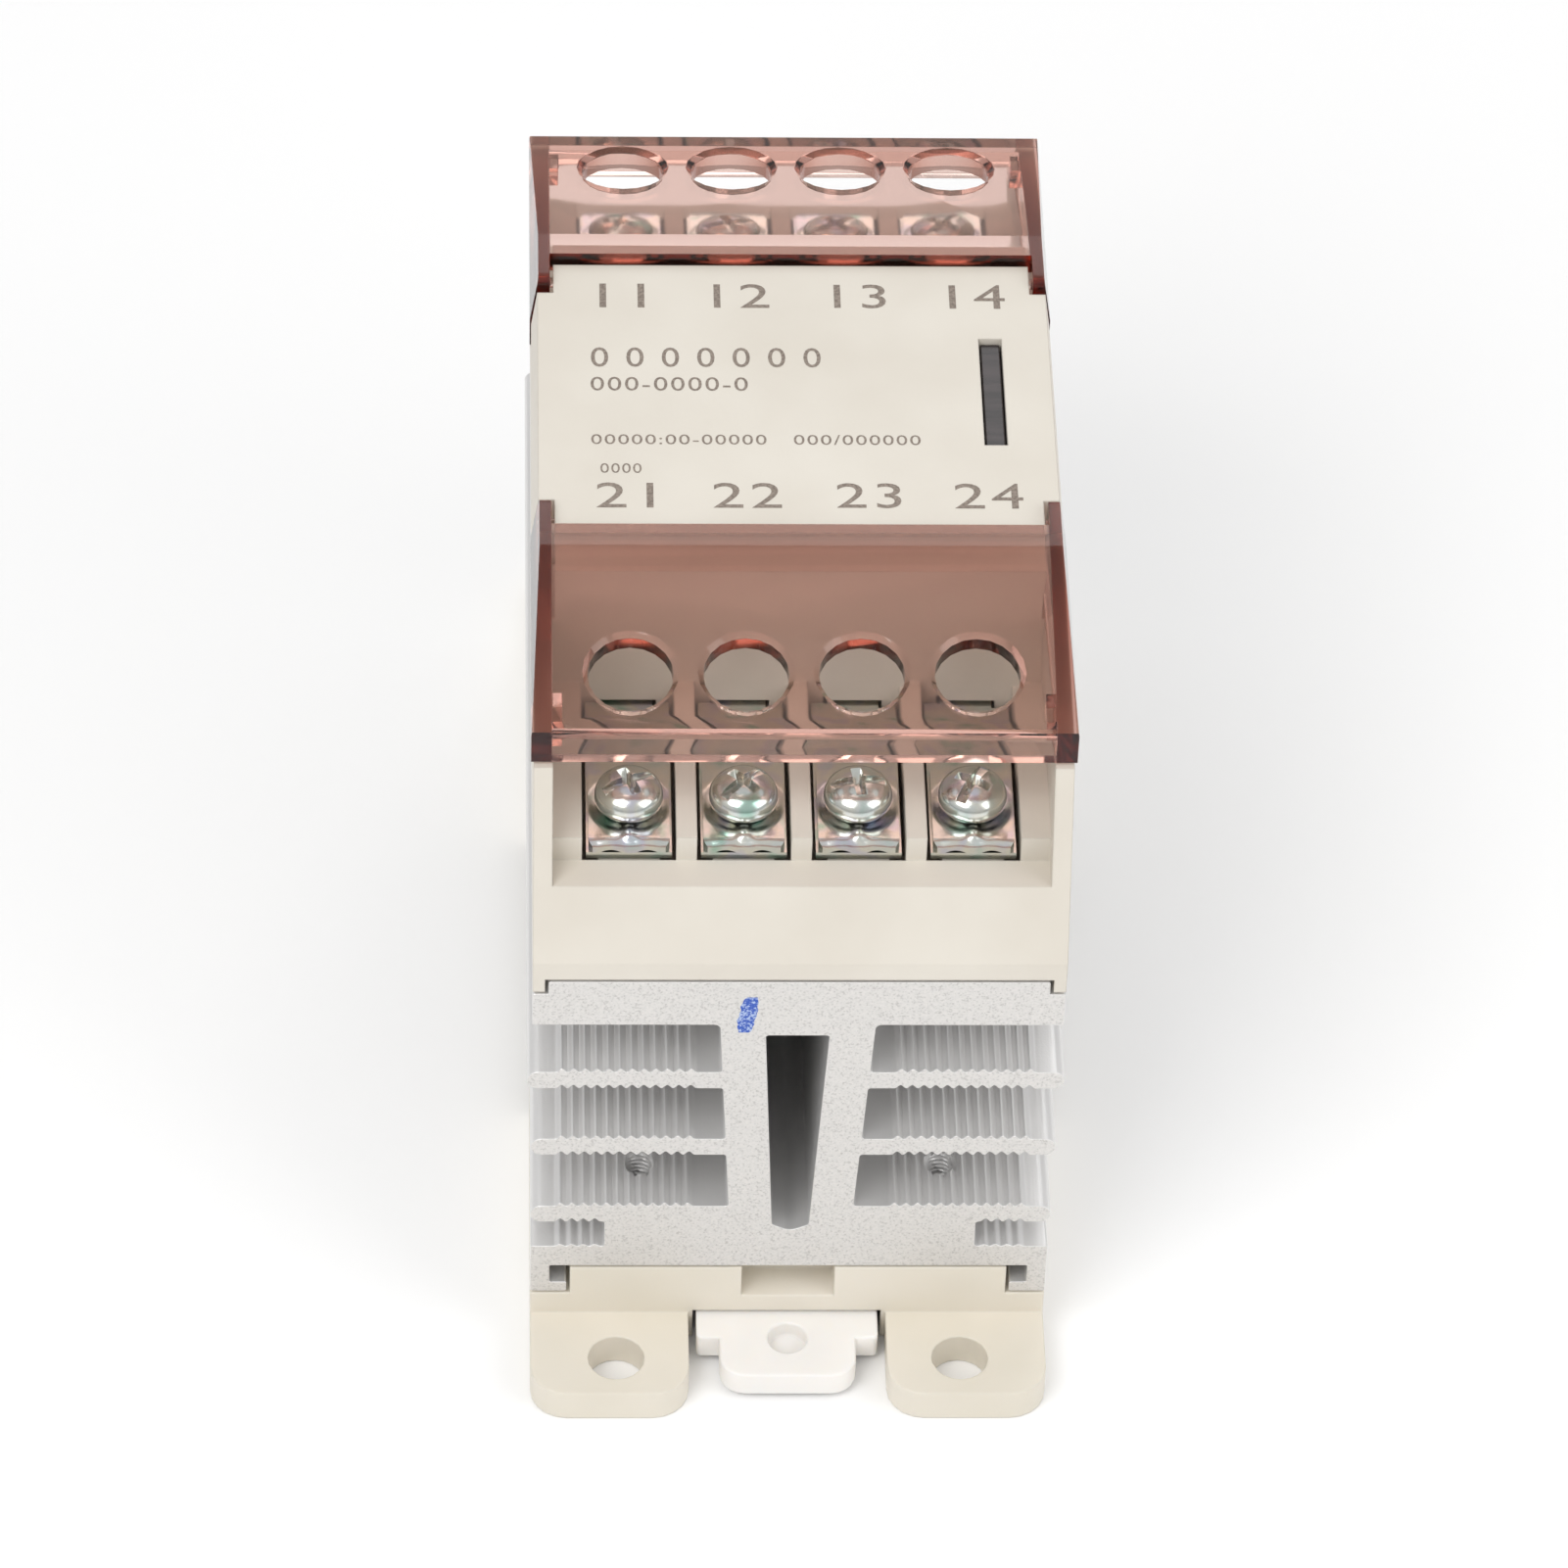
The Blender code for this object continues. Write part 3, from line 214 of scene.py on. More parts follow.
def spark_eroded_moulding(name, shades, roughness, relief_mm, grain_mm=0.35, sheen=0.0):
    """Moulding from a spark-eroded tool: a fine even grain, faint flow marks, softened edges."""
    made, tree, shader, place = blank(name)
    flow = node(tree, "ShaderNodeTexNoise", {"Vector": place, "Scale": repeats(14.0), "Detail": 3.0})
    tint = node(tree, "ShaderNodeValToRGB", {"Fac": flow.outputs["Fac"]}, stops=shades)
    grain = node(
        tree, "ShaderNodeTexNoise", {"Vector": place, "Scale": repeats(grain_mm), "Detail": 4.0}
    )
    gloss = node(
        tree,
        "ShaderNodeMapRange",
        {"Value": grain.outputs["Fac"], "To Min": roughness - 0.06, "To Max": roughness + 0.08},
    )
    edge = node(tree, "ShaderNodeBevel", {"Radius": 0.22 * MM}, samples=4)
    bump = node(
        tree,
        "ShaderNodeBump",
        {
            "Height": grain.outputs["Fac"],
            "Distance": relief_mm * MM,
            "Strength": 0.6,
            "Normal": edge.outputs["Normal"],
        },
    )
    connect(
        tree,
        shader,
        {
            "Base Color": tint.outputs["Color"],
            "Roughness": gloss.outputs["Result"],
            "Normal": bump.outputs["Normal"],
            "IOR": 1.53,
            "Subsurface Weight": sheen,
            "Subsurface Radius": (1.2 * MM, 1.0 * MM, 0.8 * MM),
            "Subsurface Scale": 1.0,
        },
    )
    return made


def extruded_aluminium():
    """Plain extruded 6063 aluminium, sawn to length: fine die lines run along Y on the sides,
    and the sawn ends are grainy, which breaks the reflections into a soft pale grey."""
    made, tree, shader, place = blank("extruded_aluminium")
    stretch = node(tree, "ShaderNodeMapping", {"Vector": place, "Scale": (1.0, 0.02, 1.0)})
    lines = node(
        tree,
        "ShaderNodeTexNoise",
        {"Vector": stretch.outputs["Vector"], "Scale": repeats(0.22), "Detail": 3.0},
    )
    # Sawn grain is nearer 0.05 mm: drawn coarser so that it shows
    sawn = node(tree, "ShaderNodeTexNoise", {"Vector": place, "Scale": repeats(0.2), "Detail": 5.0})
    pits = node(
        tree,
        "ShaderNodeValToRGB",
        {"Fac": sawn.outputs["Fac"]},
        stops=[(0.32, "#C3C0BD"), (0.44, "#D9D7D4"), (0.68, "#E1DEDB")],
    )
    along = node(tree, "ShaderNodeSeparateXYZ", {"Vector": place})
    reach = node(tree, "ShaderNodeMath", {0: along.outputs["Y"]}, operation="ABSOLUTE")
    at_end = node(
        tree,
        "ShaderNodeMath",
        {0: reach.outputs["Value"], 1: SINK_HIGH[1] - 0.02 * MM},
        operation="GREATER_THAN",
    )
    tint = node(
        tree,
        "ShaderNodeMix",
        {0: at_end.outputs["Value"], 6: linear("#E4E3E2"), 7: pits.outputs["Color"]},
        data_type="RGBA",
    )
    gloss = node(
        tree,
        "ShaderNodeMapRange",
        {"Value": at_end.outputs["Value"], "To Min": 0.36, "To Max": 0.55},
    )
    height = node(
        tree,
        "ShaderNodeMath",
        {0: lines.outputs["Fac"], 1: sawn.outputs["Fac"]},
        operation="ADD",
    )
    bump = node(
        tree,
        "ShaderNodeBump",
        {"Height": height.outputs["Value"], "Distance": 0.02 * MM, "Strength": 0.7},
    )
    connect(
        tree,
        shader,
        {
            "Base Color": tint.outputs[2],
            "Metallic": 0.6,
            "Roughness": gloss.outputs["Result"],
            "Normal": bump.outputs["Normal"],
        },
    )
    return made


def passivated_zinc():
    """Zinc-plated steel with a clear passivate, whose thin film tints it green, yellow and mauve."""
    made, tree, shader, place = blank("passivated_zinc")
    drift = node(tree, "ShaderNodeTexNoise", {"Vector": place, "Scale": repeats(3.2), "Detail": 2.0})
    film = node(
        tree,
        "ShaderNodeValToRGB",
        {"Fac": drift.outputs["Fac"]},
        stops=[
            (0.30, "#A9CBBD"),
            (0.42, "#D3D8D5"),
            (0.54, "#DBDBD2"),
            (0.64, "#CFCFDA"),
            (0.74, "#C9D5D6"),
        ],
    )
    grain = node(tree, "ShaderNodeTexNoise", {"Vector": place, "Scale": repeats(0.4), "Detail": 4.0})
    gloss = node(
        tree,
        "ShaderNodeMapRange",
        {"Value": grain.outputs["Fac"], "To Min": 0.12, "To Max": 0.3},
    )
    bump = node(
        tree,
        "ShaderNodeBump",
        {"Height": grain.outputs["Fac"], "Distance": 0.02 * MM, "Strength": 0.35},
    )
    connect(
        tree,
        shader,
        {
            "Base Color": film.outputs["Color"],
            "Metallic": 1.0,
            "Roughness": gloss.outputs["Result"],
            "Normal": bump.outputs["Normal"],
        },
    )
    return made


def tinted_polycarbonate():
    """Clear polycarbonate dyed brown: the dye absorbs with depth, so a 2 mm wall looks tan,
    and an edge seen along its length looks dark red-brown."""
    made, tree, shader, place = blank("tinted_polycarbonate")
    scuffs = node(tree, "ShaderNodeTexNoise", {"Vector": place, "Scale": repeats(2.4), "Detail": 6.0})
    gloss = node(
        tree,
        "ShaderNodeMapRange",
        {"Value": scuffs.outputs["Fac"], "To Min": 0.02, "To Max": 0.12},
    )
    connect(
        tree,
        shader,
        {
            "Base Color": linear("#FBF3EE"),
            "Roughness": gloss.outputs["Result"],
            "Transmission Weight": 1.0,
            "IOR": 1.45,
        },
    )
    dye = node(
        tree, "ShaderNodeVolumeAbsorption", {"Color": linear("#DA906F"), "Density": 265.0}
    )
    tree.links.new(dye.outputs["Volume"], tree.nodes["Material Output"].inputs["Volume"])
    return made


def smoked_lens():
    """Smoked acrylic strip: dark and glossy, with faint flow streaks across it."""
    made, tree, shader, place = blank("smoked_lens")
    stretch = node(tree, "ShaderNodeMapping", {"Vector": place, "Scale": (0.15, 1.0, 1.0)})
    streaks = node(
        tree,
        "ShaderNodeTexNoise",
        {"Vector": stretch.outputs["Vector"], "Scale": repeats(0.9), "Detail": 3.0},
    )
    tint = node(
        tree,
        "ShaderNodeValToRGB",
        {"Fac": streaks.outputs["Fac"]},
        stops=[(0.35, "#1E1819"), (0.65, "#3A3132")],
    )
    connect(
        tree,
        shader,
        {"Base Color": tint.outputs["Color"], "Roughness": 0.2, "IOR": 1.49},
    )
    return made


def printed_circuit_board():
    """Glass-epoxy board under green solder mask: copper tracks show through as paler lines."""
    made, tree, shader, place = blank("solder_mask_board")
    tracks = node(
        tree,
        "ShaderNodeTexBrick",
        {
            "Vector": place,
            "Scale": 1.0,
            "Color1": linear("#1C5A32"),
            "Color2": linear("#236B3B"),
            "Mortar": linear("#3C8A52"),
            "Brick Width": 5.0 * MM,
            "Row Height": 2.5 * MM,
            "Mortar Size": 0.35 * MM,
        },
    )
    weave = node(tree, "ShaderNodeTexNoise", {"Vector": place, "Scale": repeats(0.6), "Detail": 2.0})
    bump = node(
        tree,
        "ShaderNodeBump",
        {"Height": weave.outputs["Fac"], "Distance": 0.03 * MM, "Strength": 0.4},
    )
    connect(
        tree,
        shader,
        {
            "Base Color": tracks.outputs["Color"],
            "Roughness": 0.32,
            "Normal": bump.outputs["Normal"],
        },
    )
    return made


def even_finish(name, shades, roughness, grain_mm, metallic=0.0):
    """A plain cast, sintered or inked surface with a little variation at its own grain."""
    made, tree, shader, place = blank(name)
    grain = node(tree, "ShaderNodeTexNoise", {"Vector": place, "Scale": repeats(grain_mm)})
    tint = node(tree, "ShaderNodeValToRGB", {"Fac": grain.outputs["Fac"]}, stops=shades)
    bump = node(
        tree,
        "ShaderNodeBump",
        {"Height": grain.outputs["Fac"], "Distance": 0.02 * MM, "Strength": 0.3},
    )
    connect(
        tree,
        shader,
        {
            "Base Color": tint.outputs["Color"],
            "Roughness": roughness,
            "Metallic": metallic,
            "Normal": bump.outputs["Normal"],
        },
    )
    return made


def make_finishes():
    """Every finish of the object's pieces, by a short name."""
    return {
        # ABS/PC case: warm beige, half matt
        "case": spark_eroded_moulding(
            "beige_abs", [(0.3, "#D3CCC0"), (0.7, "#DBD5CA")], 0.46, 0.02
        ),
        # The same beige in nylon for the base, a shade yellower
        "base": spark_eroded_moulding(
            "beige_nylon", [(0.3, "#DCD5C6"), (0.7, "#E4DDD0")], 0.42, 0.02, sheen=0.1
        ),
        # Natural nylon: milky, soft edged, light travels a little way into it
        "clip": spark_eroded_moulding(
            "natural_nylon", [(0.3, "#EAE7E3"), (0.7, "#F1EEEA")], 0.38, 0.015, 0.6, 0.35
        ),
        "sink": extruded_aluminium(),
        "zinc": passivated_zinc(),
        "cover": tinted_polycarbonate(),
        "lens": smoked_lens(),
        "board": printed_circuit_board(),
        # Moulding compound: matt black with a fine filler grain
        "epoxy": even_finish("filled_epoxy", [(0.4, "#141414"), (0.6, "#202020")], 0.55, 0.3),
        # Filled silicone pad, a chalky white
        "ceramic": even_finish("filled_silicone", [(0.4, "#D6D6D0"), (0.6, "#E2E2DC")], 0.65, 0.4),
        # Dipped film capacitor: glossy blue resin
        "film": even_finish("dipped_blue_resin", [(0.4, "#20386E"), (0.6, "#2A4684")], 0.25, 1.5),
        # Lamp body: red epoxy
        "lamp": even_finish("red_epoxy_lamp", [(0.4, "#A81A14"), (0.6, "#C22A20")], 0.15, 0.8),
        # Laser mark: the beige is foamed to a grey-brown, slightly uneven
        "mark": even_finish("laser_mark", [(0.35, "#75695F"), (0.65, "#94887D")], 0.6, 0.25),
        # Felt-pen ink, thin enough for the metal grain to show as paler specks
        "ink": even_finish("blue_marker_ink", [(0.38, "#A9BBDF"), (0.52, "#2E55B4")], 0.5, 0.22),
    }


# --- geometry -----------------------------------------------------------------


def linked(name, data):
    """An object at the origin that holds this data, in the scene."""
    obj = bpy.data.objects.new(name, data)
    bpy.context.scene.collection.objects.link(obj)
    return obj


def shaped(name, points, faces):
    """A mesh object from points and faces."""
    mesh = bpy.data.meshes.new(name)
    mesh.from_pydata(np.asarray(points).tolist(), [], [list(face) for face in faces])
    return linked(name, mesh)


def points_of(mesh):
    """The mesh's points as an array with a row of x, y and z for each."""
    points = np.empty(len(mesh.vertices) * 3, np.float32)
    mesh.vertices.foreach_get("co", points)
    return points.reshape(-1, 3)


def spin(degrees):
    """The matrix that turns rows of x and y about +Z."""
    turn = math.radians(degrees)
    return np.array([(math.cos(turn), math.sin(turn)), (-math.sin(turn), math.cos(turn))])


def settle(obj, finish_of, body, stands_for=(), smooth=None):
    """Gives a piece its finish, its body and what it stands for, and where an angle
    in degrees is given, smooth shading up to that angle."""
    obj.data.materials.clear()
    obj.data.materials.append(finish_of)
    if smooth:
        obj.data.shade_smooth()
        obj.data.set_sharp_from_angle(angle=math.radians(smooth))
    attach(obj, body)
    if stands_for:
        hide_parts(*stands_for)


def baked(obj):
    """The object with its modifiers made part of its mesh."""
    graph = bpy.context.evaluated_depsgraph_get()
    mesh = bpy.data.meshes.new_from_object(obj.evaluated_get(graph))
    obj.modifiers.clear()
    obj.data = mesh
    return obj


def softened(obj, width, angle_degrees, segments, harden=False):
    """The object with a rounded bevel along each edge that is sharper than the angle."""
    bevel = obj.modifiers.new("soften", "BEVEL")
    bevel.width = width
    bevel.segments = segments
    bevel.limit_method = "ANGLE"
    bevel.angle_limit = math.radians(angle_degrees)
    bevel.use_clamp_overlap = True
    bevel.harden_normals = harden
    return baked(obj)


def carved(obj, cutters):
    """The object with each cutter taken out of it. The cutters are used up."""
    for cutter in cutters:
        modifier = obj.modifiers.new(cutter.name, "BOOLEAN")
        modifier.operation = "DIFFERENCE"
        modifier.solver = "EXACT"
        modifier.object = cutter
    baked(obj)
    for cutter in cutters:
        bpy.data.objects.remove(cutter)
    return obj


def rounded(corners):
    """A closed outline with each corner (x, z, radius) turned into an arc that meets both its
    edges: the arc starts radius / tan(half the corner's angle) before the corner, and its points
    run evenly round the circle's centre."""
    corners = np.asarray(corners, float)
    here, radius = corners[:, :2], corners[:, 2]
    back = np.roll(here, 1, axis=0) - here
    ahead = np.roll(here, -1, axis=0) - here
    back_length = np.linalg.norm(back, axis=1)
    ahead_length = np.linalg.norm(ahead, axis=1)
    back /= back_length[:, None]
    ahead /= ahead_length[:, None]
    half = np.arccos(np.clip((back * ahead).sum(1), -1, 1)) / 2
    trim = np.minimum(radius / np.tan(half), 0.48 * np.minimum(back_length, ahead_length))
    radius = trim * np.tan(half)
    middle = (back + ahead) / np.maximum(np.linalg.norm(back + ahead, axis=1), 1e-9)[:, None]
    centre = here + middle * (radius / np.sin(half))[:, None]
    start = here + back * trim[:, None] - centre
    stop = here + ahead * trim[:, None] - centre
    share = np.linspace(0, 1, 6)[None, :, None]
    spread = (math.pi - 2 * half)[:, None, None]
    weight = np.maximum(np.sin(spread), 1e-9)
    arc = (np.sin((1 - share) * spread) * start[:, None] + np.sin(share * spread) * stop[:, None]) / weight
    points = (centre[:, None] + arc).reshape(-1, 2)
    moved = np.linalg.norm(points - np.roll(points, 1, axis=0), axis=1)
    return points[moved > 1e-7]


def resampled(outline, step):
    """The outline with each edge split evenly into pieces no longer than the step."""
    after = np.roll(outline, -1, axis=0)
    counts = np.maximum(1, np.ceil(np.linalg.norm(after - outline, axis=1) / step - 1e-6)).astype(int)
    owner = np.repeat(np.arange(len(outline)), counts)
    first = np.cumsum(counts) - counts
    share = (np.arange(counts.sum()) - first[owner]) / counts[owner]
    return outline[owner] + (after - outline)[owner] * share[:, None]


def inset(outline, distance):
    """Each point moved inwards along the mean normal of its two edges."""
    along = np.roll(outline, -1, axis=0) - np.roll(outline, 1, axis=0)
    along /= np.linalg.norm(along, axis=1)[:, None]
    return outline - distance * np.stack([along[:, 1], -along[:, 0]], axis=1)


def tube_faces(rings, count, start=0, closed=True):
    """Quads between neighbouring rings of as many points, with the last joined to the first."""
    ring = np.arange(rings - 1)[:, None]
    at = np.arange(count if closed else count - 1)[None, :]
    ahead = (at + 1) % count
    quads = [ring * count + at, (ring + 1) * count + at, (ring + 1) * count + ahead, ring * count + ahead]
    return start + np.stack(quads, axis=-1).reshape(-1, 4)


def capped_tube(rings, count):
    """The quads round a tube of rings, and one flat face at each end."""
    last = (rings - 1) * count
    ends = [list(range(count)), list(range(last, last + count))[::-1]]
    return tube_faces(rings, count).tolist() + ends


def turned(profile, segments):
    """A profile of (radius, height) carried round +Z: x = r cos a, y = r sin a, z = h."""
    profile = np.asarray(profile, float)
    turn = np.linspace(0, math.tau, segments, endpoint=False)
    circle = np.stack([np.cos(turn), np.sin(turn)], axis=1)
    flat = profile[:, None, :1] * circle[None]
    height = np.broadcast_to(profile[:, None, 1:], (*flat.shape[:2], 1))
    points = np.concatenate([flat, height], axis=2).reshape(-1, 3)
    return points, [face[::-1] for face in capped_tube(len(profile), segments)]


def outward(obj):
    """Turns every face of a closed mesh outwards."""
    shape = bmesh.new()
    shape.from_mesh(obj.data)
    bmesh.ops.recalc_face_normals(shape, faces=shape.faces)
    shape.to_mesh(obj.data)
    shape.free()
    return obj


def smoothstep(value, low, high):
    """0 below low, 1 above high and 3t^2 - 2t^3 between."""
    share = np.clip((value - low) / (high - low), 0, 1)
    return share * share * (3 - 2 * share)


# --- heat sink ----------------------------------------------------------------


def web_x(height):
    """Half the web's thickness at a height: it narrows evenly from the plate to the lowest fin."""
    share = (PLATE_UNDERSIDE - height) / (PLATE_UNDERSIDE - FIN_CENTRES[-1])
    return WEB_TOP + share * (WEB_BOTTOM - WEB_TOP)


def sink_half():
    """Corners (x, z, radius) down the right-hand side, from the top plate to the hook."""
    low, high = SINK_LOW[2], SINK_HIGH[2]
    edge, root = EDGE_RADIUS, ROOT_RADIUS
    corners = [
        (SINK_HALF - REBATE_WIDTH, high, edge),
        (SINK_HALF - REBATE_WIDTH, high - REBATE_DEPTH, REBATE_RADIUS),
        (SINK_HALF, high - REBATE_DEPTH, edge),
        (SINK_HALF, PLATE_UNDERSIDE, edge),
        (web_x(PLATE_UNDERSIDE), PLATE_UNDERSIDE, root),
    ]
    for centre, tip in zip(FIN_CENTRES, FIN_TIPS):
        inner = LOWEST_GAP_REACH if centre == FIN_CENTRES[-1] else web_x(centre - FIN_HALF)
        corners += [
            (web_x(centre + FIN_HALF), centre + FIN_HALF, FIN_ROOT_RADIUS),
            (tip, centre + FIN_HALF, FIN_TIP_RADIUS),
            (tip, centre - FIN_HALF, FIN_TIP_RADIUS),
            (inner, centre - FIN_HALF, root / 2),
        ]
    return corners + [
        (LOWEST_GAP_REACH, FOOT_PLATE_TOP, root / 2),
        (SINK_HALF, FOOT_PLATE_TOP, edge),
        (SINK_HALF, low, edge),
        (SINK_HALF - HOOK_REACH, low, edge),
        (SINK_HALF - HOOK_REACH, low + HOOK_TOE, edge),
        (SINK_HALF - HOOK_LEG, low + HOOK_TOE, edge),
        (SINK_HALF - HOOK_LEG, FOOT_PLATE_BOTTOM, edge),
    ]


def mirrored(half):
    """A half outline on the right and its mirror image back up the left."""
    half = np.asarray(half, float)
    return np.concatenate([half, (half * (-1, 1, 1))[::-1]])


def ribbed(outline):
    """Rounded ribs along the fins: each point on a fin's upper or lower face rises by the rib
    height times the square of sin(pi d / pitch), with d from where the ribs start, so a fin
    stays as thick. The foot plate's own ribs are lower."""
    reach = np.abs(outline[:, 0])
    share = (reach - RIB_START) / RIB_PITCH
    wave = RIB_HEIGHT * np.sin(math.pi * share) ** 2 * ((share > 0) & (share < RIB_COUNT))
    level = outline[:, 1]
    faces = [centre + side * FIN_HALF for centre in FIN_CENTRES for side in (-1, 1)]
    on_face = np.isclose(level[:, None], faces, atol=1e-8).any(axis=1)
    on_foot = np.isclose(level, FOOT_PLATE_TOP, atol=1e-8) & (reach > LOWEST_GAP_REACH)
    raised = outline.copy()
    raised[:, 1] += wave * on_face + FOOT_RIB_SHARE * wave * on_foot
    return raised


def threaded_cutter(name, x, y, low, high):
    """A closed screw of radius mean + depth * triangle wave of (height / pitch - turn)."""
    segments = 32
    rings = RINGS_PER_PITCH * round((high - low) / THREAD_PITCH) + 1
    height = np.linspace(low, high, rings)[:, None]
    turn = np.linspace(0, math.tau, segments, endpoint=False)[None]
    phase = (height / THREAD_PITCH - turn / math.tau) % 1.0
    radius = THREAD_MEAN + THREAD_DEPTH * (4 * np.abs(phase - 0.5) - 1)
    points = np.stack(
        [x + radius * np.cos(turn), y + radius * np.sin(turn), np.broadcast_to(height, radius.shape)],
        axis=-1,
    ).reshape(-1, 3)
    return outward(shaped(name, points, capped_tube(rings, segments)))


def ring_cap(points, rings):
    """Triangles that fill a flat section between its outline and the outline of its hole."""
    owner = np.concatenate(rings)
    flat = [Vector(point) for point in points[owner][:, (0, 2)].tolist()]
    start = np.cumsum([0] + [len(ring) for ring in rings])
    loops = [
        (first + at, first + (at + 1) % len(ring))
        for first, ring in zip(start.tolist(), rings)
        for at in range(len(ring))
    ]
    filled = delaunay_2d_cdt(flat, loops, [], 1, 1e-8)
    origins = [[filled[3][corner][0] for corner in face] for face in filled[2]]
    # The hole is convex, so a triangle with all its corners on the hole's outline lies in it
    return [owner[face].tolist() for face in origins if min(face) < len(rings[0])]


def make_heat_sink(aluminium):
    """The ribbed section carried along Y, with its sawn edges broken and its holes tapped."""
    outer = ribbed(resampled(rounded(mirrored(sink_half())[::-1]), OUTLINE_STEP))
    core_half = [(x * MM, z * MM, r * MM) for x, z, r in CORE]
    core = rounded(core_half + [(-x, z, r) for x, z, r in core_half[-2::-1]])
    half_length = SINK_HIGH[1]
    stations = [(-half_length, CUT_EDGE), (-half_length + CUT_EDGE, 0.0)]
    stations += [(half_length - CUT_EDGE, 0.0), (half_length, CUT_EDGE)]
    points, faces, sections = [], [], [[] for _ in stations]
    for outline in (outer, core):
        faces += tube_faces(len(stations), len(outline), len(points)).tolist()
        for number, (along, depth) in enumerate(stations):
            ring = inset(outline, depth)
            sections[number].append(np.arange(len(points), len(points) + len(ring)))
            points += np.insert(ring, 1, along, axis=1).tolist()
    for rings in (sections[0], sections[-1]):
        faces += ring_cap(np.array(points), rings)
    sink = outward(shaped("ribbed_heat_sink", points, faces))
    bottom = FOOT_PLATE_BOTTOM - TAP_BELOW
    top = FIN_CENTRES[-1] + FIN_HALF + TAP_ABOVE
    cutters = [
        threaded_cutter(f"tap_{side}_{end}", side * TAPPED_X, end * TAPPED_Y, bottom, top)
        for side in (-1, 1)
        for end in (-1, 1)
    ]
    carved(sink, cutters)
    settle(sink, aluminium, BODY, ["heat_sink"], 35.0)


# --- terminals ----------------------------------------------------------------


def wedge(name, length, width, depth, taper, turn_degrees):
    """A block let down into a screw's head: its lower corners are its upper ones times the
    taper, and it runs on above the head."""
    signs = np.array([(-1, -1), (1, -1), (1, 1), (-1, 1)])
    upper = signs * (length / 2, width / 2)
    flat = np.concatenate([upper * taper, upper]) @ spin(turn_degrees)
    height = np.repeat([HEAD_HEIGHT - depth, HEAD_HEIGHT + MM], 4)[:, None]
    faces = [(0, 3, 2, 1), (4, 5, 6, 7), (0, 1, 5, 4), (1, 2, 6, 5), (2, 3, 7, 6), (3, 0, 4, 7)]
    return outward(shaped(name, np.concatenate([flat, height], axis=1), faces))


def screw_template(tip):
    """A pan head on a threaded shank. The crown's radius is the head's radius times
    sin(t)^0.85, and its height is the rim's height plus the rest of the head's height times
    cos(t)^0.8. The thread's radius zigzags by its depth, once a pitch."""
    turn = np.linspace(math.pi / 2, 0.04, 22)
    crown_height = RIM_HEIGHT + (HEAD_HEIGHT - RIM_HEIGHT) * np.cos(turn) ** 0.8
    crown = np.stack([HEAD_RADIUS * np.sin(turn) ** 0.85, crown_height], axis=1)
    height = np.arange(tip, -THREAD_RUN_OUT, THREAD_PITCH / 2)
    crest = np.where(np.arange(len(height)) % 2, SHANK_RADIUS, SHANK_RADIUS - SHANK_THREAD_DEPTH)
    thread = np.stack([crest, height], axis=1)
    shoulder = [(SHANK_RADIUS, -SHANK_SHOULDER), (SHANK_RADIUS, 0.0)]
    underside = HEAD_UNDERSIDE * (-1, 1) + (HEAD_RADIUS, 0.0)
    profile = np.concatenate([thread, shoulder, underside, crown])
    screw = outward(shaped("screw_template", *turned(profile, segments=56)))
    cutters = [
        wedge("wing_across", WING_LENGTH, WING_WIDTH, WING_DEPTH, WING_TAPER, 0),
        wedge("wing_along", WING_LENGTH, WING_WIDTH, WING_DEPTH, WING_TAPER, 90),
        wedge("slot", SLOT_LENGTH, SLOT_WIDTH, SLOT_DEPTH, SLOT_TAPER, 0),
    ]
    return softened(carved(screw, cutters), SCREW_EDGE, SCREW_EDGE_ANGLE, segments=2)


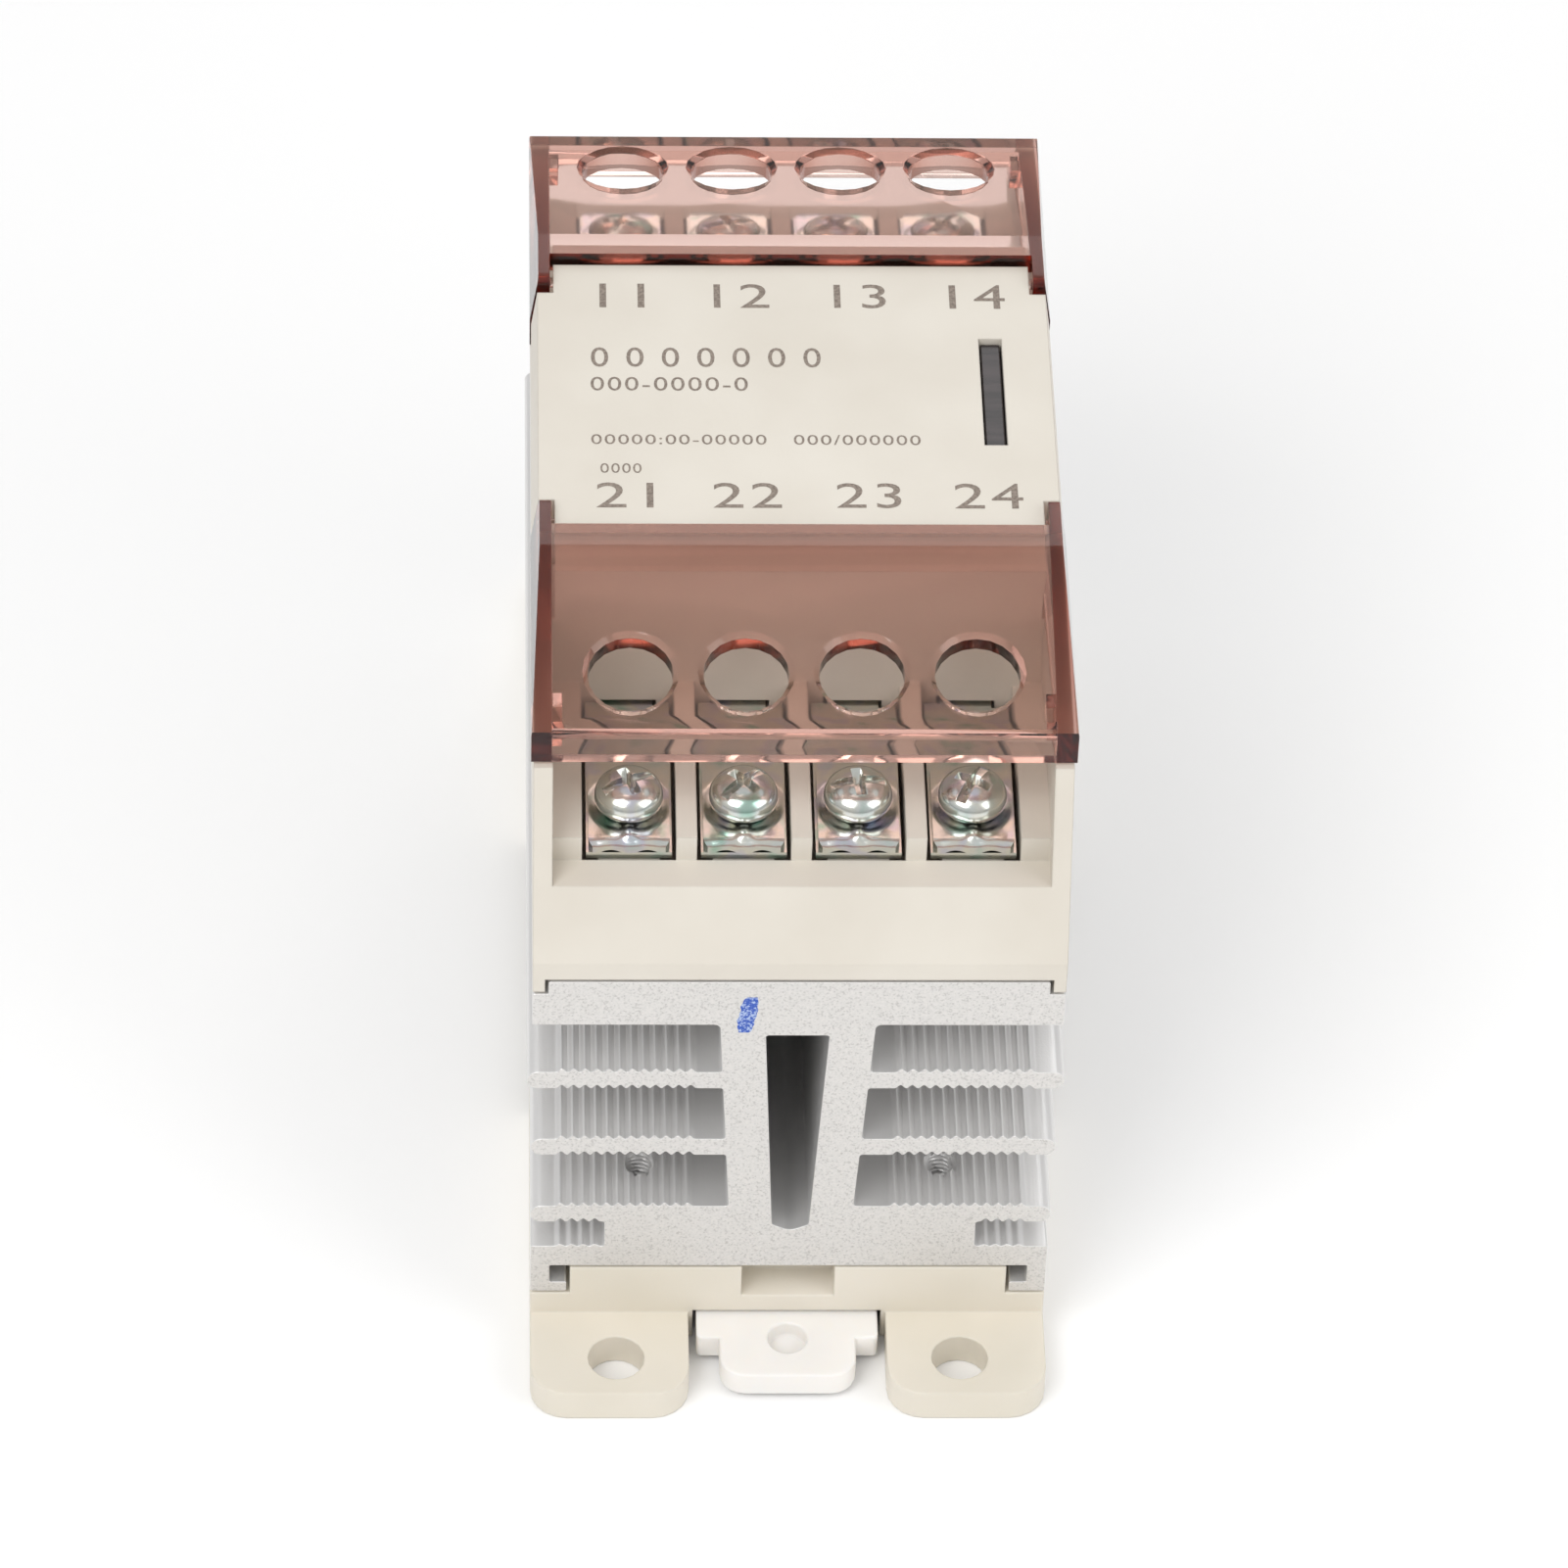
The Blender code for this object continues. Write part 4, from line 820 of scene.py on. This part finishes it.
def clamp_template():
    """A pressed clamp. Its top dishes under the head, has a crest to the front of height
    exp(-(x / spread)^2) and droops towards the front edge. That edge arches twice, each arch
    of height cos(pi (|x| - its middle) / its span)."""
    across = np.linspace(-CLAMP_HALF, CLAMP_HALF, 49)
    along = np.linspace(-CLAMP_FRONT, CLAMP_REAR, 61)
    x, y = np.meshgrid(across, along)
    corner = smoothstep(-y, CLAMP_FRONT - CORNER_LENGTH, CLAMP_FRONT)
    narrowed = x * (1 - CORNER_SHARE * corner * corner)
    dish = DISH_DEPTH * (1 - smoothstep(np.hypot(x, y), *DISH_EDGE))
    crest = CREST_HEIGHT * np.exp(-((x / CREST_SPREAD) ** 2))
    crest *= smoothstep(-y, *CREST_RISE) * (1 - smoothstep(-y, *CREST_FALL))
    off_arch = np.abs(x) - ARCH_X
    arch = np.clip(np.cos(math.pi * off_arch / ARCH_SPAN), 0, 1) * (np.abs(off_arch) < ARCH_SPAN / 2)
    arch *= smoothstep(-y, *ARCH_RISE)
    droop = DROOP_DEPTH * smoothstep(-y, DROOP_START, CLAMP_FRONT) ** 2
    top = CLAMP_THICK - dish + crest - droop + ARCH_ABOVE * arch
    upper = np.stack([narrowed, y, top], axis=-1).reshape(-1, 3)
    lower = np.stack([narrowed, y, ARCH_BELOW * arch], axis=-1).reshape(-1, 3)
    rows, columns = x.shape
    count = rows * columns
    sheet = tube_faces(rows, columns, closed=False)
    index = np.arange(count).reshape(rows, columns)
    rim = np.concatenate([index[0], index[1:, -1], index[-1, -2::-1], index[-2:0:-1, 0]])
    ahead = np.roll(rim, -1)
    walls = np.stack([rim, ahead, ahead + count, rim + count], axis=1)
    faces = np.concatenate([sheet, sheet[:, ::-1] + count, walls]).tolist()
    clamp = outward(shaped("clamp_template", np.concatenate([upper, lower]), faces))
    radius = SHANK_RADIUS + CLAMP_BORE_GAP
    bore = turned([(radius, -MM), (radius, 2 * MM)], segments=32)
    return carved(clamp, [outward(shaped("bore", *bore))])


def fitted(template, node_name, suffix, place, turn_degrees, zinc, smooth):
    """A copy of a template that stands for a node, turned about +Z and then moved."""
    mesh = template.data.copy()
    mesh.name = f"{node_name}_{suffix}"
    points = points_of(mesh)
    points[:, :2] = points[:, :2] @ spin(turn_degrees)
    points += np.array(place, np.float32)
    mesh.vertices.foreach_set("co", points.ravel())
    mesh.update()
    settle(linked(mesh.name, mesh), zinc, node_name, [node_name], smooth)


def make_terminals(zinc):
    """A screw and its clamp at each terminal, where their CAD nodes are."""
    low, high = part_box("load_screw_1")
    screw = screw_template(low[2] - (high[2] - HEAD_HEIGHT))
    clamp = clamp_template()
    for end, side in ENDS.items():
        for number, turn in zip(TERMINALS, HEAD_TURNS[end]):
            screw_node, clamp_node = f"{end}_screw_{number}", f"{end}_clamp_{number}"
            low, high = (np.array(corner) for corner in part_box(screw_node))
            x, y, _ = (low + high) / 2
            head_seat = (x, y, high[2] - HEAD_HEIGHT)
            fitted(screw, screw_node, "crosshead", head_seat, turn, zinc, 40.0)
            clamp_seat = (x, y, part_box(clamp_node)[0][2] - CLAMP_DROP)
            fitted(clamp, clamp_node, "pressed", clamp_seat, 0 if side < 0 else 180, zinc, 50.0)
    bpy.data.objects.remove(screw)
    bpy.data.objects.remove(clamp)


# --- softened mouldings -------------------------------------------------------


def moulded(node_name, finish_of, body, width_mm):
    """A copy of a CAD node with its flat faces joined up and its sharp edges rounded."""
    shape = bmesh.new()
    shape.from_mesh(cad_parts[node_name].data)
    bmesh.ops.remove_doubles(shape, verts=shape.verts, dist=0.002 * MM)
    flat = math.radians(FLAT_ANGLE)
    bmesh.ops.dissolve_limit(shape, angle_limit=flat, verts=shape.verts, edges=shape.edges)
    mesh = bpy.data.meshes.new(f"{node_name}_moulded")
    shape.to_mesh(mesh)
    shape.free()
    mesh.shade_smooth()
    mesh.set_sharp_from_angle(angle=math.radians(MOULD_ANGLE))
    obj = softened(linked(mesh.name, mesh), width_mm * MM, MOULD_ANGLE, segments=3, harden=True)
    settle(obj, finish_of, body, [node_name])


def make_mouldings(finishes):
    """The pieces whose CAD shape only needs its edges rounded."""
    moulded("mounting_base", finishes["base"], BODY, 0.3)
    moulded("rail_clip", finishes["clip"], "rail_clip", 0.3)
    for end in ENDS:
        moulded(f"{end}_cover", finishes["cover"], f"{end}_cover", 0.12)
    moulded("indicator_window", finishes["lens"], BODY, 0.15)


# --- label --------------------------------------------------------------------


def mark_text(name, words, x, y, height_mm, width_mm, mark):
    """Lettering cut to a flat mesh and laid on the label, sized to its height, and to its width
    or, without one, to its natural width times the stretch."""
    curve = bpy.data.curves.new(name, "FONT")
    curve.body = words
    curve.size = 1.0
    curve.resolution_u = 4
    curve.space_character = MARK_SPACING
    text = linked(name, curve)
    graph = bpy.context.evaluated_depsgraph_get()
    mesh = bpy.data.meshes.new_from_object(text.evaluated_get(graph))
    bpy.data.objects.remove(text)
    points = points_of(mesh)
    low, high = points.min(0), points.max(0)
    natural = (high - low)[0] / (high - low)[1] * height_mm * DIGIT_STRETCH
    size = np.array((width_mm or natural, height_mm)) * MM
    points[:, :2] = (points[:, :2] - (low + high)[:2] / 2) / (high - low)[:2] * size
    points[:, :2] += np.array((x, y)) * MM
    points[:, 2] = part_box("housing")[1][2] + MARK_THICKNESS
    mesh.vertices.foreach_set("co", points.ravel())
    settle(linked(name, mesh), mark, BODY)


def make_label(mark):
    """A number over each terminal, and the lines between the two rows of numbers."""
    for row, y in ROW_Y.items():
        for column, x in enumerate(COLUMN_X, 1):
            number = f"{row}{column}"
            mark_text(f"terminal_number_{number}", number, x, y, DIGIT_HEIGHT, None, mark)
    for number, line in enumerate(MARK_LINES, 1):
        mark_text(f"label_line_{number}", *line, mark)


def make_ink_mark(ink):
    """A slanted felt-pen dab: a strip of half width sin(pi t)^0.15 times the full one, whose
    edges wander by sin(23 t) cos(9 t), with t from 0 at its foot to 1 at its top."""
    rows = 25
    share = np.linspace(0, 1, rows)
    middle = INK_X + INK_LEAN * (share - 0.5)
    half = INK_HALF * np.sin(math.pi * np.clip(share, 0.01, 0.99)) ** 0.15
    wander = INK_WANDER * np.sin(23 * share) * np.cos(9 * share)
    height = INK_LOW + INK_HEIGHT * share
    y = np.full(rows, SINK_LOW[1] - INK_THICKNESS)
    left = np.stack([middle - half + wander, y, height], axis=1)
    right = np.stack([middle + half + 0.7 * wander, y, height], axis=1)
    points = np.stack([left, right], axis=1).reshape(-1, 3)
    at = 2 * np.arange(rows - 1)
    faces = np.stack([at, at + 1, at + 3, at + 2], axis=1).tolist()
    settle(shaped("ink_mark", points, faces), ink, BODY)


# --- the rest of the frame ----------------------------------------------------

NODE_FINISH = {
    "housing": "case",
    "control_board": "board",
    "insulating_pad": "ceramic",
    "indicator_led": "lamp",
    "triac": "epoxy",
    "optocoupler": "epoxy",
    "snubber_capacitor": "film",
    "base_screw": "zinc",
    "board_screw": "zinc",
    "triac_screw": "zinc",
    "load_plate": "zinc",
    "line_plate": "zinc",
}


def finish_nodes(finishes):
    """Gives every CAD node that stays its own finish, found by its name without its number."""
    for name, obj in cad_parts.items():
        finish_name = NODE_FINISH.get(name.rstrip("0123456789").rstrip("_"))
        if finish_name:
            obj.data.materials.clear()
            obj.data.materials.append(finishes[finish_name])


# --- studio -------------------------------------------------------------------


def make_floor():
    """A plain pale floor, level with the mounting face."""
    corners = np.array([(-1, -1, 0), (1, -1, 0), (1, 1, 0), (-1, 1, 0)]) * FLOOR_REACH
    floor = shaped("floor", corners, [(0, 1, 2, 3)])
    floor.location.z = cad_box[0][2] - FLOOR_GAP
    paper, tree, shader, _ = blank("white_paper")
    connect(tree, shader, {"Base Color": linear("#FBFBFB"), "Roughness": 0.9})
    floor.data.materials.append(paper)


def make_lights():
    """A pale sky that darkens towards the ground, and three soft square lamps."""
    world = bpy.data.worlds.new("studio")
    bpy.context.scene.world = world
    world.use_nodes = True
    tree = world.node_tree
    direction = node(tree, "ShaderNodeTexCoord").outputs["Generated"]
    parts = node(tree, "ShaderNodeSeparateXYZ", {"Vector": direction})
    sky = node(
        tree,
        "ShaderNodeValToRGB",
        {"Fac": parts.outputs["Z"]},
        stops=[(0.0, "#B4B4B4"), (0.2, "#ECECEC"), (0.7, "#F6F6F6")],
    )
    sky_light = {"Color": sky.outputs["Color"], "Strength": SKY_STRENGTH}
    connect(tree, tree.nodes["Background"], sky_light)
    for name, (place, power) in LAMPS.items():
        light = bpy.data.lights.new(name, "AREA")
        light.size = LAMP_SIZE
        light.energy = power
        lamp = linked(name, light)
        lamp.location = place
        lamp.rotation_euler = (LAMP_AIM - Vector(place)).to_track_quat("-Z", "Y").to_euler()


def make_camera():
    """A long lens: the frame is turned by yaw about +Z, dropped, then rolled about its axis."""
    yaw, drop, roll = CAMERA_YAW, CAMERA_DROP, CAMERA_ROLL
    about_z = np.array(
        [(math.cos(yaw), -math.sin(yaw), 0), (math.sin(yaw), math.cos(yaw), 0), (0, 0, 1)]
    )
    tip = np.array(
        [(1, 0, 0), (0, math.sin(drop), math.cos(drop)), (0, math.cos(drop), -math.sin(drop))]
    )
    about_axis = np.array(
        [(math.cos(roll), -math.sin(roll), 0), (math.sin(roll), math.cos(roll), 0), (0, 0, 1)]
    )
    rows = about_axis @ tip @ about_z
    place = CAMERA_AIM - rows.T @ CAMERA_SHIFT
    data = bpy.data.cameras.new("camera")
    data.lens = LENS
    data.sensor_width = SENSOR
    data.clip_start, data.clip_end = 0.01, 20.0
    camera = linked("camera", data)
    matrix = np.eye(4)
    matrix[:3, 0], matrix[:3, 1], matrix[:3, 2], matrix[:3, 3] = rows[0], rows[1], -rows[2], place
    camera.matrix_world = Matrix(matrix.tolist())
    bpy.context.scene.camera = camera


def main():
    """Makes the studio, gives every node its finish and makes the detailed pieces."""
    make_camera()
    make_lights()
    make_floor()
    finishes = make_finishes()
    finish_nodes(finishes)
    make_heat_sink(finishes["sink"])
    make_mouldings(finishes)
    make_terminals(finishes["zinc"])
    make_label(finishes["mark"])
    make_ink_mark(finishes["ink"])
    bpy.context.scene.view_settings.view_transform = "Standard"


main()
